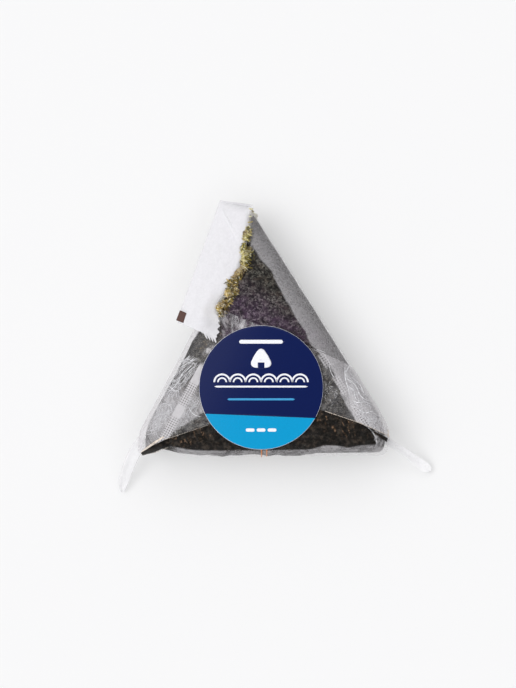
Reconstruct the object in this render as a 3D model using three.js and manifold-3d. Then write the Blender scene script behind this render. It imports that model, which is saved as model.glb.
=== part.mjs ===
// A triangular rice ball in its shut film pack, lying on its back.
// Millimetres, +Z up: the base side faces -Y, the tip points to +Y, and the label faces up.
import * as THREE from "three";
import { mergeVertices } from "three/addons/utils/BufferGeometryUtils.js";
import Module from "manifold-3d";

const wasm = await Module();
wasm.setup();

// Driving sizes of the pack
const PACK = {
  tip: [-4.3, 99.6],
  leftUpper: [-48.4, 9.5],
  leftLower: [-48.4, -0.7],
  rightLower: [49.3, 0.3],
  rightMiddle: [51.2, 6.6],
  rightUpper: [50.2, 12.6],
  centre: [1, 31],
  thickness: 29.4,
  edgeHeight: 13,
  crown: 0.7,
  cornerSoftness: 0.9,
};
const SHOULDER = { power: 2.5, base: 4.8, side: 9.5, corner: 7, underside: 7 };
const BOW = { left: -1.7, right: 0.3, baseDent: 2.4, baseDentAt: -38.5, baseDentWidth: 8.5 };

// Layers, as a distance in from the outermost film (negative) or out from it (positive)
const LAYER = {
  riceOuter: -1.7,
  noriInner: -1.4,
  noriOuter: -0.7,
  flapInner: -0.4,
  flapOuter: 0,
  labelInner: 0.3,
  labelOuter: 0.75,
};
const GAP = 0.3;

const LABEL = { centre: [0, 26.7], radius: 23.9, lowest: 18, sides: 72 };
const FLAP_HEM = 4.2;
const WINDOW_SILL = 9;
const ABOVE_ALL = 50;

// Seams where the three folded flaps meet, and the free upper edge of the right flap
const SEAM_LEFT_BASE = [[-60, -7], [-46.3, 1.6], [-37.2, 6.4], [-20.4, 12], [2, 21.5]];
const SEAM_RIGHT_BASE = [[2, 21.5], [24.6, 17.4], [38.1, 12.8], [50, 7.7], [62, 3]];
const SEAM_LEFT_RIGHT = [[2, 21.5], [-9, 32], [-15.8, 44], [-17, 52], [-16.6, 57.2]];
const RIGHT_FLAP_TOP = [[-16.6, 57.2], [0.3, 50.4], [21.2, 41.2], [34.7, 35.3], [62, 23.5]];
const LEFT_FLAP_TOP = [[-17.4, 55], [-27, 58.5], [-60, 58.5]];

// The torn edge of the nori beside the tip, from the tip down
const NORI_EDGE = [
  [-3.4, 103], [-4.2, 95], [-5.4, 90.5], [-7.2, 84.5], [-5.6, 80.6], [-7.6, 76], [-8.6, 71.6],
  [-12, 68], [-14, 63.8], [-16, 59], [-16.4, 52],
];
const TEAR = { step: 1.1, depth: 0.55, seed: 7 };

// The film tongue folded down from the tip along the left side
const TAB = {
  innerEdge: [
    [-3.9, 99.6], [-5.4, 91.5], [-7.5, 84], [-8.2, 77.5], [-11.2, 71.5], [-14.6, 66],
    [-17.3, 61], [-17.9, 56.5], [-17.5, 52], [-17.2, 47.4], [-16.3, 43.4],
  ],
  outerEdge: [[-16.2, 101.2], [-19, 93], [-24, 78.7], [-28.4, 66], [-31.6, 57], [-32.4, 52.4]],
  outerHeight: [16, 17.5, 19.5, 20.5, 21, 21.2],
  tipHeight: 15,
  thickness: 0.45,
  lift: 0.4,
  rows: 20,
  columns: 10,
};
const TAB_TEETH = {
  pitch: 1.15,
  depth: 1.5,
  width: 0.62,
  lowerCount: 6,
  lowerFrom: 0.09,
  sideCount: 4,
  sideFrom: 0.91,
  sideTo: 0.78,
};

// The twisted film ends at the two lower corners: middle line in plan and height, with widths
const TAILS = {
  left_tail: {
    line: [
      [-45.5, 7.6, 12.6], [-49.3, 2.6, 11], [-52.1, -3, 8], [-54.2, -8.6, 4.6], [-55.2, -13.6, 2.2],
    ],
    width: [7, 6, 5.2, 4.6, 3],
    crease: 1.0,
  },
  right_tail: {
    line: [
      [47.5, 8, 12.8], [52.4, 4.8, 11.4], [57.2, 1.9, 8.6], [62.2, -1.6, 5.4], [67.2, -5.1, 3.2],
    ],
    width: [7, 5.4, 4.2, 4.1, 4.4],
    crease: 1.1,
  },
};
const TAIL = { thickness: 0.7, rows: 14, columns: 6 };

// Mesh fineness of the pack's skin
const DIRECTIONS = 62;
const RINGS = [0, 0.006, 0.024, 0.055, 0.1, 0.16, 0.25, 0.42, 0.7];

const COLOURS = {
  rice: 0xf2efe8,
  nori: 0x2b2622,
  film: 0xe6e5e8,
  darkFilm: 0x8f8b8a,
  label: 0x142a55,
};

// A solid from a closed list of triangles, and a named mesh from a solid.
function solidFrom(positions) {
  const loose = new THREE.BufferGeometry();
  loose.setAttribute("position", new THREE.Float32BufferAttribute(positions, 3));
  const merged = mergeVertices(loose, 1e-4);
  const mesh = new wasm.Mesh({
    numProp: 3,
    vertProperties: merged.attributes.position.array,
    triVerts: new Uint32Array(merged.index.array),
  });
  return new wasm.Manifold(mesh);
}

function meshFrom(solid, name, colour, roughness) {
  const data = solid.getMesh();
  const geometry = new THREE.BufferGeometry();
  geometry.setAttribute("position", new THREE.BufferAttribute(data.vertProperties, 3));
  geometry.setIndex(new THREE.BufferAttribute(data.triVerts, 1));
  geometry.computeVertexNormals();
  const material = new THREE.MeshStandardMaterial({ color: colour, roughness, metalness: 0 });
  const mesh = new THREE.Mesh(geometry, material);
  mesh.name = name;
  return mesh;
}

// An upright prism over a plan outline, between two heights.
function prism(outline, low, high) {
  const shape = new THREE.Shape(outline.map(([x, y]) => new THREE.Vector2(x, y)));
  const geometry = new THREE.ExtrudeGeometry(shape, { depth: high - low, bevelEnabled: false });
  geometry.translate(0, 0, low);
  return solidFrom(geometry.attributes.position.array);
}

function moved(points, dx, dy) {
  return points.map(([x, y]) => [x + dx, y + dy]);
}

// Distance in from one side of the pack, whose line may bow out or in between its ends.
function distanceInside(point, from, to, bow) {
  const run = [to[0] - from[0], to[1] - from[1]];
  const length = Math.hypot(run[0], run[1]);
  const offset = [point[0] - from[0], point[1] - from[1]];
  const share = (offset[0] * run[0] + offset[1] * run[1]) / (length * length);
  const clamped = Math.min(1, Math.max(0, share));
  const chord = (run[0] * offset[1] - run[1] * offset[0]) / length;
  return chord + bow * 4 * clamped * (1 - clamped);
}

// The six sides of the outline with the shoulder radius that each one has, going round the
// pack with its inside on the left hand.
const SIDES = [
  { from: PACK.tip, to: PACK.leftUpper, bow: BOW.left, shoulder: SHOULDER.side },
  { from: PACK.leftUpper, to: PACK.leftLower, bow: 0, shoulder: SHOULDER.corner },
  { from: PACK.leftLower, to: PACK.rightLower, bow: 0, shoulder: SHOULDER.base, dented: true },
  { from: PACK.rightLower, to: PACK.rightMiddle, bow: 0, shoulder: SHOULDER.corner },
  { from: PACK.rightMiddle, to: PACK.rightUpper, bow: 0, shoulder: SHOULDER.corner },
  { from: PACK.rightUpper, to: PACK.tip, bow: BOW.right, shoulder: SHOULDER.side },
];

// Depth inside the outline, as a soft minimum over the sides, and the shoulder radius there.
function depthAt(point) {
  let sum = 0;
  let shoulder = 0;
  for (const side of SIDES) {
    let distance = distanceInside(point, side.from, side.to, side.bow);
    if (side.dented) {
      const offset = (point[0] - BOW.baseDentAt) / BOW.baseDentWidth;
      distance -= BOW.baseDent * Math.exp(-offset * offset);
    }
    const weight = Math.exp(-distance / PACK.cornerSoftness);
    sum += weight;
    shoulder += weight * side.shoulder;
  }
  return { depth: -PACK.cornerSoftness * Math.log(sum), shoulder: shoulder / sum };
}

// The rounded rise from the edge to the face: 0 at the edge, 1 past the shoulder.
function rise(depth, radius) {
  const share = Math.min(1, Math.max(0, depth / radius));
  return (1 - (1 - share) ** SHOULDER.power) ** (1 / SHOULDER.power);
}

function faceHeight(point, layer) {
  const { depth, shoulder } = depthAt(point);
  const away = Math.hypot(point[0] - PACK.centre[0], point[1] - PACK.centre[1]) / 60;
  const face = PACK.thickness + PACK.crown * (1 - Math.min(1, away * away)) + layer;
  return PACK.edgeHeight + (face - PACK.edgeHeight) * rise(depth + layer, shoulder);
}

function undersideHeight(point, layer) {
  const { depth } = depthAt(point);
  const drop = PACK.edgeHeight + layer;
  return PACK.edgeHeight - drop * rise(depth + layer, SHOULDER.underside);
}

// How far the outline of one layer lies from the centre in a direction, by halving.
function reach(direction, layer) {
  let near = 0;
  let far = 120;
  for (let i = 0; i < 40; i += 1) {
    const middle = (near + far) / 2;
    const point = [
      PACK.centre[0] + direction[0] * middle,
      PACK.centre[1] + direction[1] * middle,
    ];
    if (depthAt(point).depth + layer > 0) near = middle;
    else far = middle;
  }
  return near;
}

// Directions from the centre: the outline's corners and even steps between them.
function directionList() {
  const corners = SIDES.map((side) => [
    side.from[0] - PACK.centre[0],
    side.from[1] - PACK.centre[1],
  ]).map(([x, y]) => Math.atan2(y, x));
  const list = [];
  corners.forEach((start, i) => {
    let turn = corners[(i + 1) % corners.length] - start;
    if (turn < 0) turn += 2 * Math.PI;
    const steps = Math.max(2, Math.round((DIRECTIONS * turn) / (2 * Math.PI)));
    for (let k = 0; k < steps; k += 1) {
      const angle = start + (turn * k) / steps;
      list.push([Math.cos(angle), Math.sin(angle)]);
    }
  });
  return list;
}

// The pack's full form at one layer: a closed solid of face, edge and underside.
function packSolid(layer) {
  const directions = directionList();
  const reaches = directions.map((direction) => reach(direction, layer));
  const at = (j, k, height) => {
    const scale = reaches[j] * (1 - RINGS[k]);
    const point = [
      PACK.centre[0] + directions[j][0] * scale,
      PACK.centre[1] + directions[j][1] * scale,
    ];
    return [point[0], point[1], k === 0 ? PACK.edgeHeight : height(point, layer)];
  };
  const positions = [];
  for (const [height, upward] of [[faceHeight, true], [undersideHeight, false]]) {
    const middle = [...PACK.centre, height(PACK.centre, layer)];
    for (let j = 0; j < directions.length; j += 1) {
      const next = (j + 1) % directions.length;
      const add = (a, b, c) => positions.push(...a, ...(upward ? b : c), ...(upward ? c : b));
      for (let k = 0; k + 1 < RINGS.length; k += 1) {
        const outerA = at(j, k, height);
        const outerB = at(next, k, height);
        const innerA = at(j, k + 1, height);
        const innerB = at(next, k + 1, height);
        add(outerA, outerB, innerB);
        add(outerA, innerB, innerA);
      }
      const last = RINGS.length - 1;
      add(at(j, last, height), at(next, last, height), middle);
    }
  }
  return solidFrom(positions);
}

function shell(inner, outer) {
  return packSolid(outer).subtract(packSolid(inner));
}

// One folded flap: the part of a shell over a plan outline, down to the hem on the side.
function flap(outline) {
  const layers = shell(LAYER.flapInner, LAYER.flapOuter);
  return layers.intersect(prism(outline, FLAP_HEM, ABOVE_ALL));
}

// A small repeatable random draw between -1 and 1.
function drawFrom(seed) {
  let state = seed;
  return () => {
    state = (state * 16807) % 2147483647;
    return (2 * state) / 2147483647 - 1;
  };
}

// A line with torn steps of uneven depth along it.
function torn(points) {
  const draw = drawFrom(TEAR.seed);
  const result = [points[0]];
  for (let i = 1; i < points.length; i += 1) {
    const [x0, y0] = points[i - 1];
    const [x1, y1] = points[i];
    const length = Math.hypot(x1 - x0, y1 - y0);
    const steps = Math.max(1, Math.round(length / TEAR.step));
    for (let k = 1; k <= steps; k += 1) {
      const share = k / steps;
      const sideways = TEAR.depth * draw();
      result.push([x0 + (x1 - x0) * share + sideways, y0 + (y1 - y0) * share]);
    }
  }
  return result;
}

// A point on a polyline at a share of its points.
function along(points, share) {
  const place = share * (points.length - 1);
  const i = Math.min(points.length - 2, Math.floor(place));
  const part = place - i;
  return points[i].map((value, axis) => value + (points[i + 1][axis] - value) * part);
}

// A thin closed sheet from a grid of middle points, both faces split alike.
function sheet(rows, columns, pointAt, thickness) {
  const grid = [];
  for (let i = 0; i <= rows; i += 1) {
    const row = [];
    for (let j = 0; j <= columns; j += 1) row.push(pointAt(i / rows, j / columns));
    grid.push(row);
  }
  const up = grid.map((row) => row.map(([x, y, z]) => [x, y, z + thickness]));
  const positions = [];
  const quad = (a, b, c, d) => positions.push(...a, ...b, ...c, ...a, ...c, ...d);
  for (let i = 0; i < rows; i += 1) {
    for (let j = 0; j < columns; j += 1) {
      quad(up[i][j], up[i + 1][j], up[i + 1][j + 1], up[i][j + 1]);
      quad(grid[i][j], grid[i][j + 1], grid[i + 1][j + 1], grid[i + 1][j]);
    }
    quad(grid[i][0], grid[i + 1][0], up[i + 1][0], up[i][0]);
    quad(grid[i + 1][columns], grid[i][columns], up[i][columns], up[i + 1][columns]);
  }
  for (let j = 0; j < columns; j += 1) {
    quad(grid[0][j + 1], grid[0][j], up[0][j], up[0][j + 1]);
    quad(grid[rows][j], grid[rows][j + 1], up[rows][j + 1], up[rows][j]);
  }
  const made = solidFrom(positions);
  return made.volume() < 0 ? solidFrom(reversed(positions)) : made;
}

function reversed(positions) {
  const result = [];
  for (let i = 0; i < positions.length; i += 9) {
    const corners = [0, 3, 6].map((k) => positions.slice(i + k, i + k + 3));
    result.push(...corners[0], ...corners[2], ...corners[1]);
  }
  return result;
}

// Rice pressed into the pack's form
function riceBall() {
  return packSolid(LAYER.riceOuter);
}

// The nori sheet round the rice, open over the strip beside the tip where it is torn away
function noriWrap() {
  const edge = torn(NORI_EDGE);
  const opening = [...edge, [-30, 52], [-70, 52], [-70, 101]];
  return shell(LAYER.noriInner, LAYER.noriOuter).subtract(
    prism(opening.reverse(), WINDOW_SILL, ABOVE_ALL),
  );
}

function leftFlap() {
  const lower = moved(SEAM_LEFT_BASE, 0, GAP / 2);
  const inner = moved(SEAM_LEFT_RIGHT, -GAP / 2, 0).slice(1, 4);
  return flap([...lower, ...inner, ...LEFT_FLAP_TOP]);
}

function rightFlap() {
  const lower = moved(SEAM_RIGHT_BASE, 0, GAP / 2);
  const inner = moved(SEAM_LEFT_RIGHT, GAP / 2, 0).slice(1);
  return flap([...lower, ...[...RIGHT_FLAP_TOP].reverse(), ...inner.reverse().slice(1)]);
}

function baseFlap() {
  const left = moved(SEAM_LEFT_BASE, 0, -GAP / 2);
  const right = moved(SEAM_RIGHT_BASE, 0, -GAP / 2).slice(1);
  return flap([...left, ...right, [62, -12], [-60, -12]]);
}

function label() {
  const circle = [];
  for (let i = 0; i < LABEL.sides; i += 1) {
    const angle = (2 * Math.PI * i) / LABEL.sides;
    circle.push([
      LABEL.centre[0] + LABEL.radius * Math.cos(angle),
      LABEL.centre[1] + LABEL.radius * Math.sin(angle),
    ]);
  }
  return shell(LAYER.labelInner, LAYER.labelOuter).intersect(
    prism(circle, LABEL.lowest, ABOVE_ALL),
  );
}

// Height of taut film across one section of the tab: the lowest line over the pack's
// shoulder that never sags between two points that hold it up.
function tautHeights(section, outerHeight) {
  const held = section.map(([x, y]) => {
    const inside = depthAt([x, y]).depth > 0;
    return inside ? faceHeight([x, y], LAYER.labelInner) + TAB.lift : 0;
  });
  held[held.length - 1] = outerHeight;
  held[0] = Math.max(held[0], TAB.tipHeight);
  return section.map((_, j) => {
    let height = held[j];
    for (let a = 0; a <= j; a += 1) {
      for (let b = j; b < held.length; b += 1) {
        if (a === b) continue;
        const between = held[a] + ((held[b] - held[a]) * (j - a)) / (b - a);
        height = Math.max(height, between);
      }
    }
    return height;
  });
}

// The tab: taut over the left shoulder, with a free fin beyond it and a sawn lower end
function topTab() {
  const rows = [];
  for (let i = 0; i <= TAB.rows; i += 1) {
    const share = i / TAB.rows;
    const from = along(TAB.innerEdge, share);
    const to = along(TAB.outerEdge, share);
    const section = [];
    for (let j = 0; j <= TAB.columns; j += 1) {
      section.push(along([from, to], j / TAB.columns));
    }
    const outer = along(TAB.outerHeight.map((z) => [z]), share)[0];
    const heights = tautHeights(section, outer);
    rows.push(section.map(([x, y], j) => [x, y, heights[j]]));
  }
  const pointAt = (a, b) => rows[Math.round(a * TAB.rows)][Math.round(b * TAB.columns)];
  let made = sheet(TAB.rows, TAB.columns, pointAt, TAB.thickness);
  const lower = [along(TAB.innerEdge, 1), along(TAB.outerEdge, 1)];
  const lowerStart = along(lower, TAB_TEETH.lowerFrom);
  made = made.subtract(notches(lowerStart, lower[1], TAB_TEETH.lowerCount, 1));
  const sideStart = along(TAB.innerEdge, TAB_TEETH.sideFrom);
  const sideEnd = along(TAB.innerEdge, TAB_TEETH.sideTo);
  return made.subtract(notches(sideStart, sideEnd, TAB_TEETH.sideCount, -1));
}

// A row of narrow wedges that saws one edge of a sheet into teeth, cutting to its left or right.
function notches(from, to, count, hand) {
  const length = Math.hypot(to[0] - from[0], to[1] - from[1]);
  const forward = [(to[0] - from[0]) / length, (to[1] - from[1]) / length];
  const inward = [hand * forward[1], -hand * forward[0]];
  const at = (run, deep) => [
    from[0] + forward[0] * run + inward[0] * deep,
    from[1] + forward[1] * run + inward[1] * deep,
  ];
  let all = null;
  for (let i = 0; i < count; i += 1) {
    const run = TAB_TEETH.pitch * (i + 1);
    const half = TAB_TEETH.width / 2;
    const wedge = [at(run - half, -0.6), at(run + half, -0.6), at(run, TAB_TEETH.depth)];
    const ordered = hand > 0 ? wedge.reverse() : wedge;
    const cut = prism(ordered, 0, ABOVE_ALL);
    all = all ? all.add(cut) : cut;
  }
  return all;
}

// One film end at a lower corner: a tapering tongue with a lengthwise crease, whose root
// starts inside the pack and is cut back to its skin
function tail({ line, width, crease }) {
  const curve = new THREE.CatmullRomCurve3(line.map((p) => new THREE.Vector3(...p)));
  const widths = width.map((value) => [value]);
  const pointAt = (a, b) => {
    const middle = curve.getPoint(a);
    const ahead = curve.getTangent(a);
    const across = new THREE.Vector3(ahead.y, -ahead.x, 0).normalize();
    const end = Math.sqrt(Math.max(0, 1 - Math.max(0, (a - 0.85) / 0.16) ** 2));
    const half = (along(widths, a)[0] / 2) * end;
    const side = 2 * b - 1;
    const fold = crease * (Math.abs(side) - 0.5) * end;
    return [middle.x + across.x * half * side, middle.y + across.y * half * side, middle.z + fold];
  };
  const tongue = sheet(TAIL.rows, TAIL.columns, pointAt, TAIL.thickness);
  return tongue.subtract(packSolid(LAYER.flapOuter + GAP));
}

const pack = new THREE.Group();
pack.add(meshFrom(riceBall(), "rice_ball", COLOURS.rice, 0.7));
pack.add(meshFrom(noriWrap(), "nori_wrap", COLOURS.nori, 0.6));
pack.add(meshFrom(leftFlap(), "left_flap", COLOURS.film, 0.4));
pack.add(meshFrom(rightFlap(), "right_flap", COLOURS.film, 0.4));
pack.add(meshFrom(baseFlap(), "base_flap", COLOURS.darkFilm, 0.4));
pack.add(meshFrom(label(), "label", COLOURS.label, 0.35));
pack.add(meshFrom(topTab(), "top_tab", COLOURS.film, 0.4));
for (const [name, spec] of Object.entries(TAILS)) {
  pack.add(meshFrom(tail(spec), name, COLOURS.film, 0.35));
}

// The origin is the middle of the footprint, on the surface that the pack lies on
const bounds = new THREE.Box3().setFromObject(pack);
const middle = bounds.getCenter(new THREE.Vector3());
pack.children.forEach((mesh) => mesh.position.set(-middle.x, -middle.y, -bounds.min.z));

export default pack;
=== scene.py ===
"""A packed onigiri rice ball: nori-wrapped rice in its shut film pack, lying on its back.

Plan sizes are in millimetres from the middle of the label's centre line and the base edge:
x to the right, y to the tip, z up from the pack's underside. place() puts them in the frame.
"""

import bpy
import numpy as np
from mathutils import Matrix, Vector


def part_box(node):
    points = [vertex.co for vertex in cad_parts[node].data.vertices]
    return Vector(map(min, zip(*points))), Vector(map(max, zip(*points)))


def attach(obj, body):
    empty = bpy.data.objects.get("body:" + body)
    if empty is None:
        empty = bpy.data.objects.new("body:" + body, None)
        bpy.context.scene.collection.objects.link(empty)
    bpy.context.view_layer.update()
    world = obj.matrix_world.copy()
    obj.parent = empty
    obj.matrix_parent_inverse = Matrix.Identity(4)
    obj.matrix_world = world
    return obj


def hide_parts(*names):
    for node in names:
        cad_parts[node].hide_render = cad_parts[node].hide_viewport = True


bl_info = {
    "name": "Packed Onigiri",
    "version": (1, 0, 0),
    "blender": (4, 5, 0),
    "location": "View3D > Sidebar > Onigiri",
    "description": "Builds a nori-wrapped rice ball in its shut film pack, with its label",
    "category": "Add Mesh",
}

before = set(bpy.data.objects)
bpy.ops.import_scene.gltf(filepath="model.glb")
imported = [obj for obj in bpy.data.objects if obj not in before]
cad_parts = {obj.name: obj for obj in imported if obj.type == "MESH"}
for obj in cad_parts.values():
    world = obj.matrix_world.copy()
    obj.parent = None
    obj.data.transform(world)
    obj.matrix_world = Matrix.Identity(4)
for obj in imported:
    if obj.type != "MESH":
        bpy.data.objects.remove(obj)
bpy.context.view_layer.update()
MM = 0.001
LATTICE_SIZE = 32

# Outline of the pack in plan
TIP = (-4.3, 99.6)
LEFT_UPPER = (-48.4, 9.5)
LEFT_LOWER = (-48.4, -0.7)
RIGHT_LOWER = (49.3, 0.3)
RIGHT_MIDDLE = (51.2, 6.6)
RIGHT_UPPER = (50.2, 12.6)
CENTRE = (1.0, 31.0)
FARTHEST = 120.0
HALVINGS = 40
BASE_DENT = {"depth": 2.4, "at": -38.5, "width": 8.5}

# Each side: its two ends, how far it bows out, its shoulder radius, and how far the nori
# stays in from the film there
LEFT, BASE, RIGHT = 0, 2, 5
SIDES = (
    (TIP, LEFT_UPPER, -1.7, 9.5, 0.9),
    (LEFT_UPPER, LEFT_LOWER, 0.0, 7.0, 2.4),
    (LEFT_LOWER, RIGHT_LOWER, 0.0, 4.8, 0.9),
    (RIGHT_LOWER, RIGHT_MIDDLE, 0.0, 7.0, 1.1),
    (RIGHT_MIDDLE, RIGHT_UPPER, 0.0, 7.0, 1.2),
    (RIGHT_UPPER, TIP, 0.3, 9.5, 0.25),
)
CORNER_SOFTNESS = 0.9
SHOULDER_POWER = 2.5
UNDERSIDE_RADIUS = 7.0
THICKNESS = 29.4
EDGE_HEIGHT = 13.0
CROWN = 0.7
CROWN_REACH = 60.0
RING_CROWDING = 1.9
# Directions, rings on the face and rings below of the forms that go all round the pack
RICE_GRID = (220, 60, 40)
NORI_GRID = (500, 120, 50)
SKIN_GRID = (420, 100, 36)
# Lowest heights of the nori, the film and the tear tape
NORI_FLOOR = 0.7
SKIN_FLOOR = 0.62
TAPE_FLOOR = 0.6

# Layers, as a distance out from the solids' outermost film (negative is inside it)
RICE_LAYER = -1.9
NORI_LAYER = -0.75
SKIN_LAYER = -0.45
TAPE_LAYER = SKIN_LAYER + 0.06
BASE_FLAP_LAYER = SKIN_LAYER - 0.05
FLAP_LAYER = -0.15
CREASE_LAYER = 0.0
LABEL_LAYER = 0.62
PRINT_LAYER = 0.72
TAB_LAYER = 0.3
# Walls of the thin pieces
FILM = 0.1
NORI_SHEET = 0.15
SHRED = 0.06
FOLD = 0.05
INK = 0.03
LABEL_THICKNESS = 0.25
# How much rounder the shoulders of the rice and the nori are than the film's
RICE_ROUNDNESS = 1.1
NORI_ROUNDNESS = 1.12

# Lines of the folded flaps in plan: the left flap's and the right flap's lower edges, the
# right flap's upper edge, the left flap's hidden upper edge and the seam between the two
LEFT_FLAP_LOWER = ((2, 21.7), (-20.4, 12.2), (-37.2, 6.6), (-46.3, 1.8), (-60, -6.8))
LEFT_FLAP_UPPER = ((-17.2, 52), (-27, 57.5), (-60, 58.5))
RIGHT_FLAP_LOWER = ((2, 21.7), (24.6, 17.6), (38.1, 13.0), (50, 7.9), (62, 3.2))
RIGHT_FLAP_UPPER = ((-16.5, 57.2), (0.3, 50.4), (21.2, 41.2), (34.7, 35.3), (62, 23.5))
FLAP_SEAM = ((2, 21.7), (-9, 32), (-15.8, 44), (-17, 52), (-16.5, 57.2))
FLAP_HEM = 4.2
HEM_BACK = 0.035
FLAP_CROWDING = 1.7
HEM_CROWDING = 1.8
FLAP_ROWS = FLAP_COLUMNS = 170
FLAP_SIDE_COLUMNS = 16
FLAP_TRACK = 600
# The base flap: its grid, its left end, how far its right end stands and bulges out, how
# much of the nori's slack it has, and the pitch of its lobes
BASE_FLAP_GRID = (110, 330)
BASE_FLAP_LEFT = -47.0
BASE_FLAP_RIGHT = 38.8
BASE_FLAP_BULGE = 5.4
BASE_FLAP_SLACK = 0.3
LOBES_FROM, LOBES_FULL, LOBE_START, LOBE_PITCH = 17, 24, 19, 4.6

# Heights over which the film's haze fades out down the walls, and what is left of it there
WALL_FADE = (10.0, 22.0)
WALL_HAZE = 0.1
MOST_COVER = 0.97
LEAST_ALPHA = 0.004

# The torn edge of the nori beside the tip, from the tip down
TORN_EDGE = (
    (-3.4, 103), (-3.7, 95.7), (-4.2, 93.0), (-4.4, 90.0), (-4.6, 88.7), (-4.6, 86.2), (-4.8, 84.0),
    (-7.0, 82.1), (-7.4, 79.3), (-6.6, 77.3), (-7.8, 74.9), (-6.0, 73.3), (-8.7, 71.8), (-11.1, 69.9),
    (-13.2, 67.2), (-12.6, 64.4), (-14.3, 61.7), (-15.9, 59.0), (-16.4, 57.5), (-16.4, 52),
)
WINDOW_SILL = 9.0
WINDOW_SINK = 3.2
THIN_WIDTH = 5.2
# How wide the fringe of shreds is at heights up the torn edge, and how far it starts outside it
FRINGE_HEIGHTS = (55, 58, 62, 66, 70, 72.8, 74.6, 78, 81, 83, 84.5, 88, 89.5, 94, 95.2, 96.8)
FRINGE_WIDTHS = (3.2, 4.8, 4.4, 4.6, 4.4, 1.8, 2.8, 4.6, 4.0, 0.9, 3.0, 3.0, 0.5, 0.4, 1.6, 0.9)
FRINGE_OUTSETS = (0.5, 0.5, 0.4, 0.4, 0.4, 0.4, 0.4, 0.4, 0.4, 0.6, 2.2, 2.3, 0.5, 0.2, 0.3, 0.3)
FRINGE_HEADING = 154
SHRED_COUNT = 7000
# Places of the whole grains along the torn edge, and from it to the pack's edge
GRAIN_PLACES = (22, 12)
GRAIN_RINGS = 7
GRAIN_SIDES = 8
GRAIN_MARGIN = 1.4
GRAIN_SINK = 0.75
RICE_SINK = 0.5

# Left edge of the strip along the right side where film hazes the nori
BAND_EDGE = (
    (-3.9, 100), (-4.6, 90), (-4.6, 84), (-3.6, 81.8), (-2.4, 79.6), (-0.4, 76.8), (2.0, 73.8),
    (4.8, 70.6), (6.2, 66.4), (8.9, 61.8), (11.2, 58.0), (14.6, 52.0), (20.0, 42.6), (26.8, 35.0),
    (28.9, 29.5), (31.7, 22.0), (34.6, 16.5), (37.8, 12.0),
)

# Heat seals: middle line in plan, how strong the dots are along it, and the dots' sizes
LEFT_SEAL = {
    "line": ((-21.8, 35.7), (-39.0, 4.1)),
    "sections": ((0, 0), (0.22, 0), (0.26, 1), (0.49, 1), (0.51, 0), (0.64, 0), (0.66, 1), (1, 1)),
    "dots": {"Pitch": 0.92, "Radius": 0.31, "Half width": 1.7},
}
RIGHT_SEAL = {
    "line": ((23.2, 39.4), (40.5, 12.4)),
    "sections": (
        (-0.02, 0), (0.01, 1), (0.15, 1), (0.19, 0.1), (0.29, 0.1), (0.33, 1),
        (0.54, 1), (0.58, 0), (0.66, 0), (0.7, 0.9), (1, 0.9),
    ),
    "dots": {"Pitch": 1.0, "Radius": 0.33, "Half width": 1.45},
}
# The smooth strip along the right seal, the fold line near the right flap's upper edge that carries painted
# shade, and where the nori ends under the left flap
STRIP_LEFT = (
    (18.0, 45.0), (20.6, 41.5), (23.6, 38.8), (26.5, 35.4), (29.4, 30.1), (30.9, 24.3),
    (33.1, 19.5), (35.0, 17.0), (37.8, 11),
)
STRIP_RIGHT = ((31.9, 40.0), (32.1, 36.5), (32.8, 30.3), (34.4, 20.0), (35.4, 16.0))
FOLD_SHADE_LINE = ((26.5, 40.0), (28.5, 39.3), (35.3, 34.6))
NORI_ARC = (
    (-22.6, 50.2), (-23.6, 48.7), (-24.8, 47.2), (-27.6, 43.4), (-29.1, 39.1), (-31.4, 35.2), (-33.7, 30.5),
)

# The creases are white partly from the film's own whitening at hard folds and partly as painted highlight
# along their ridges
# Creases: middle and half size of each zone and its turn, then how many, their heading and its
# spread in degrees, and their length, curl, width and brightness
LEFT_CREASES = (
    ((-29.6, 33.2), (5.4, 3.8), 60, 80, 48, 8, 4.8, 0.25, 0.14, 0.9),
    ((-28.0, 36.8), (3.2, 1.2), 0, 9, 15, 30, 4.2, 0.6, 0.16, 0.9),
    ((-34.0, 26.6), (3.6, 2.8), 50, 52, 42, 45, 4.6, 0.7, 0.13, 0.85),
    ((-38.0, 16.5), (8.5, 2.6), 62, 120, 52, 30, 6.0, 1.1, 0.12, 0.66),
    ((-26.4, 19.4), (5.6, 2.2), 60, 60, 80, 45, 4.2, 1.3, 0.12, 0.72),
    ((-31.5, 12.5), (3.8, 1.6), 60, 16, 50, 40, 3.4, 1.2, 0.15, 0.5),
    ((-25.5, 14.0), (3.6, 0.8), 23, 10, 35, 12, 2.6, 0.4, 0.12, 0.35),
)
RIGHT_CREASES = (
    ((36.8, 26.5), (6.5, 2.6), -58, 30, -58, 22, 6.0, 1.6, 0.18, 0.8),
    ((40.5, 17.5), (6.0, 3.2), -50, 44, -35, 40, 4.4, 2.0, 0.17, 0.8),
    ((44.6, 12.4), (4.2, 2.4), -40, 90, 20, 90, 1.2, 1.0, 0.13, 0.5),
    ((27.0, 24.0), (3.0, 5.0), 20, 46, 60, 80, 1.0, 1.0, 0.14, 0.4),
    ((-9.0, 51.5), (6.5, 2.2), -20, 26, 75, 14, 3.0, 0.5, 0.16, 0.4),
)
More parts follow.
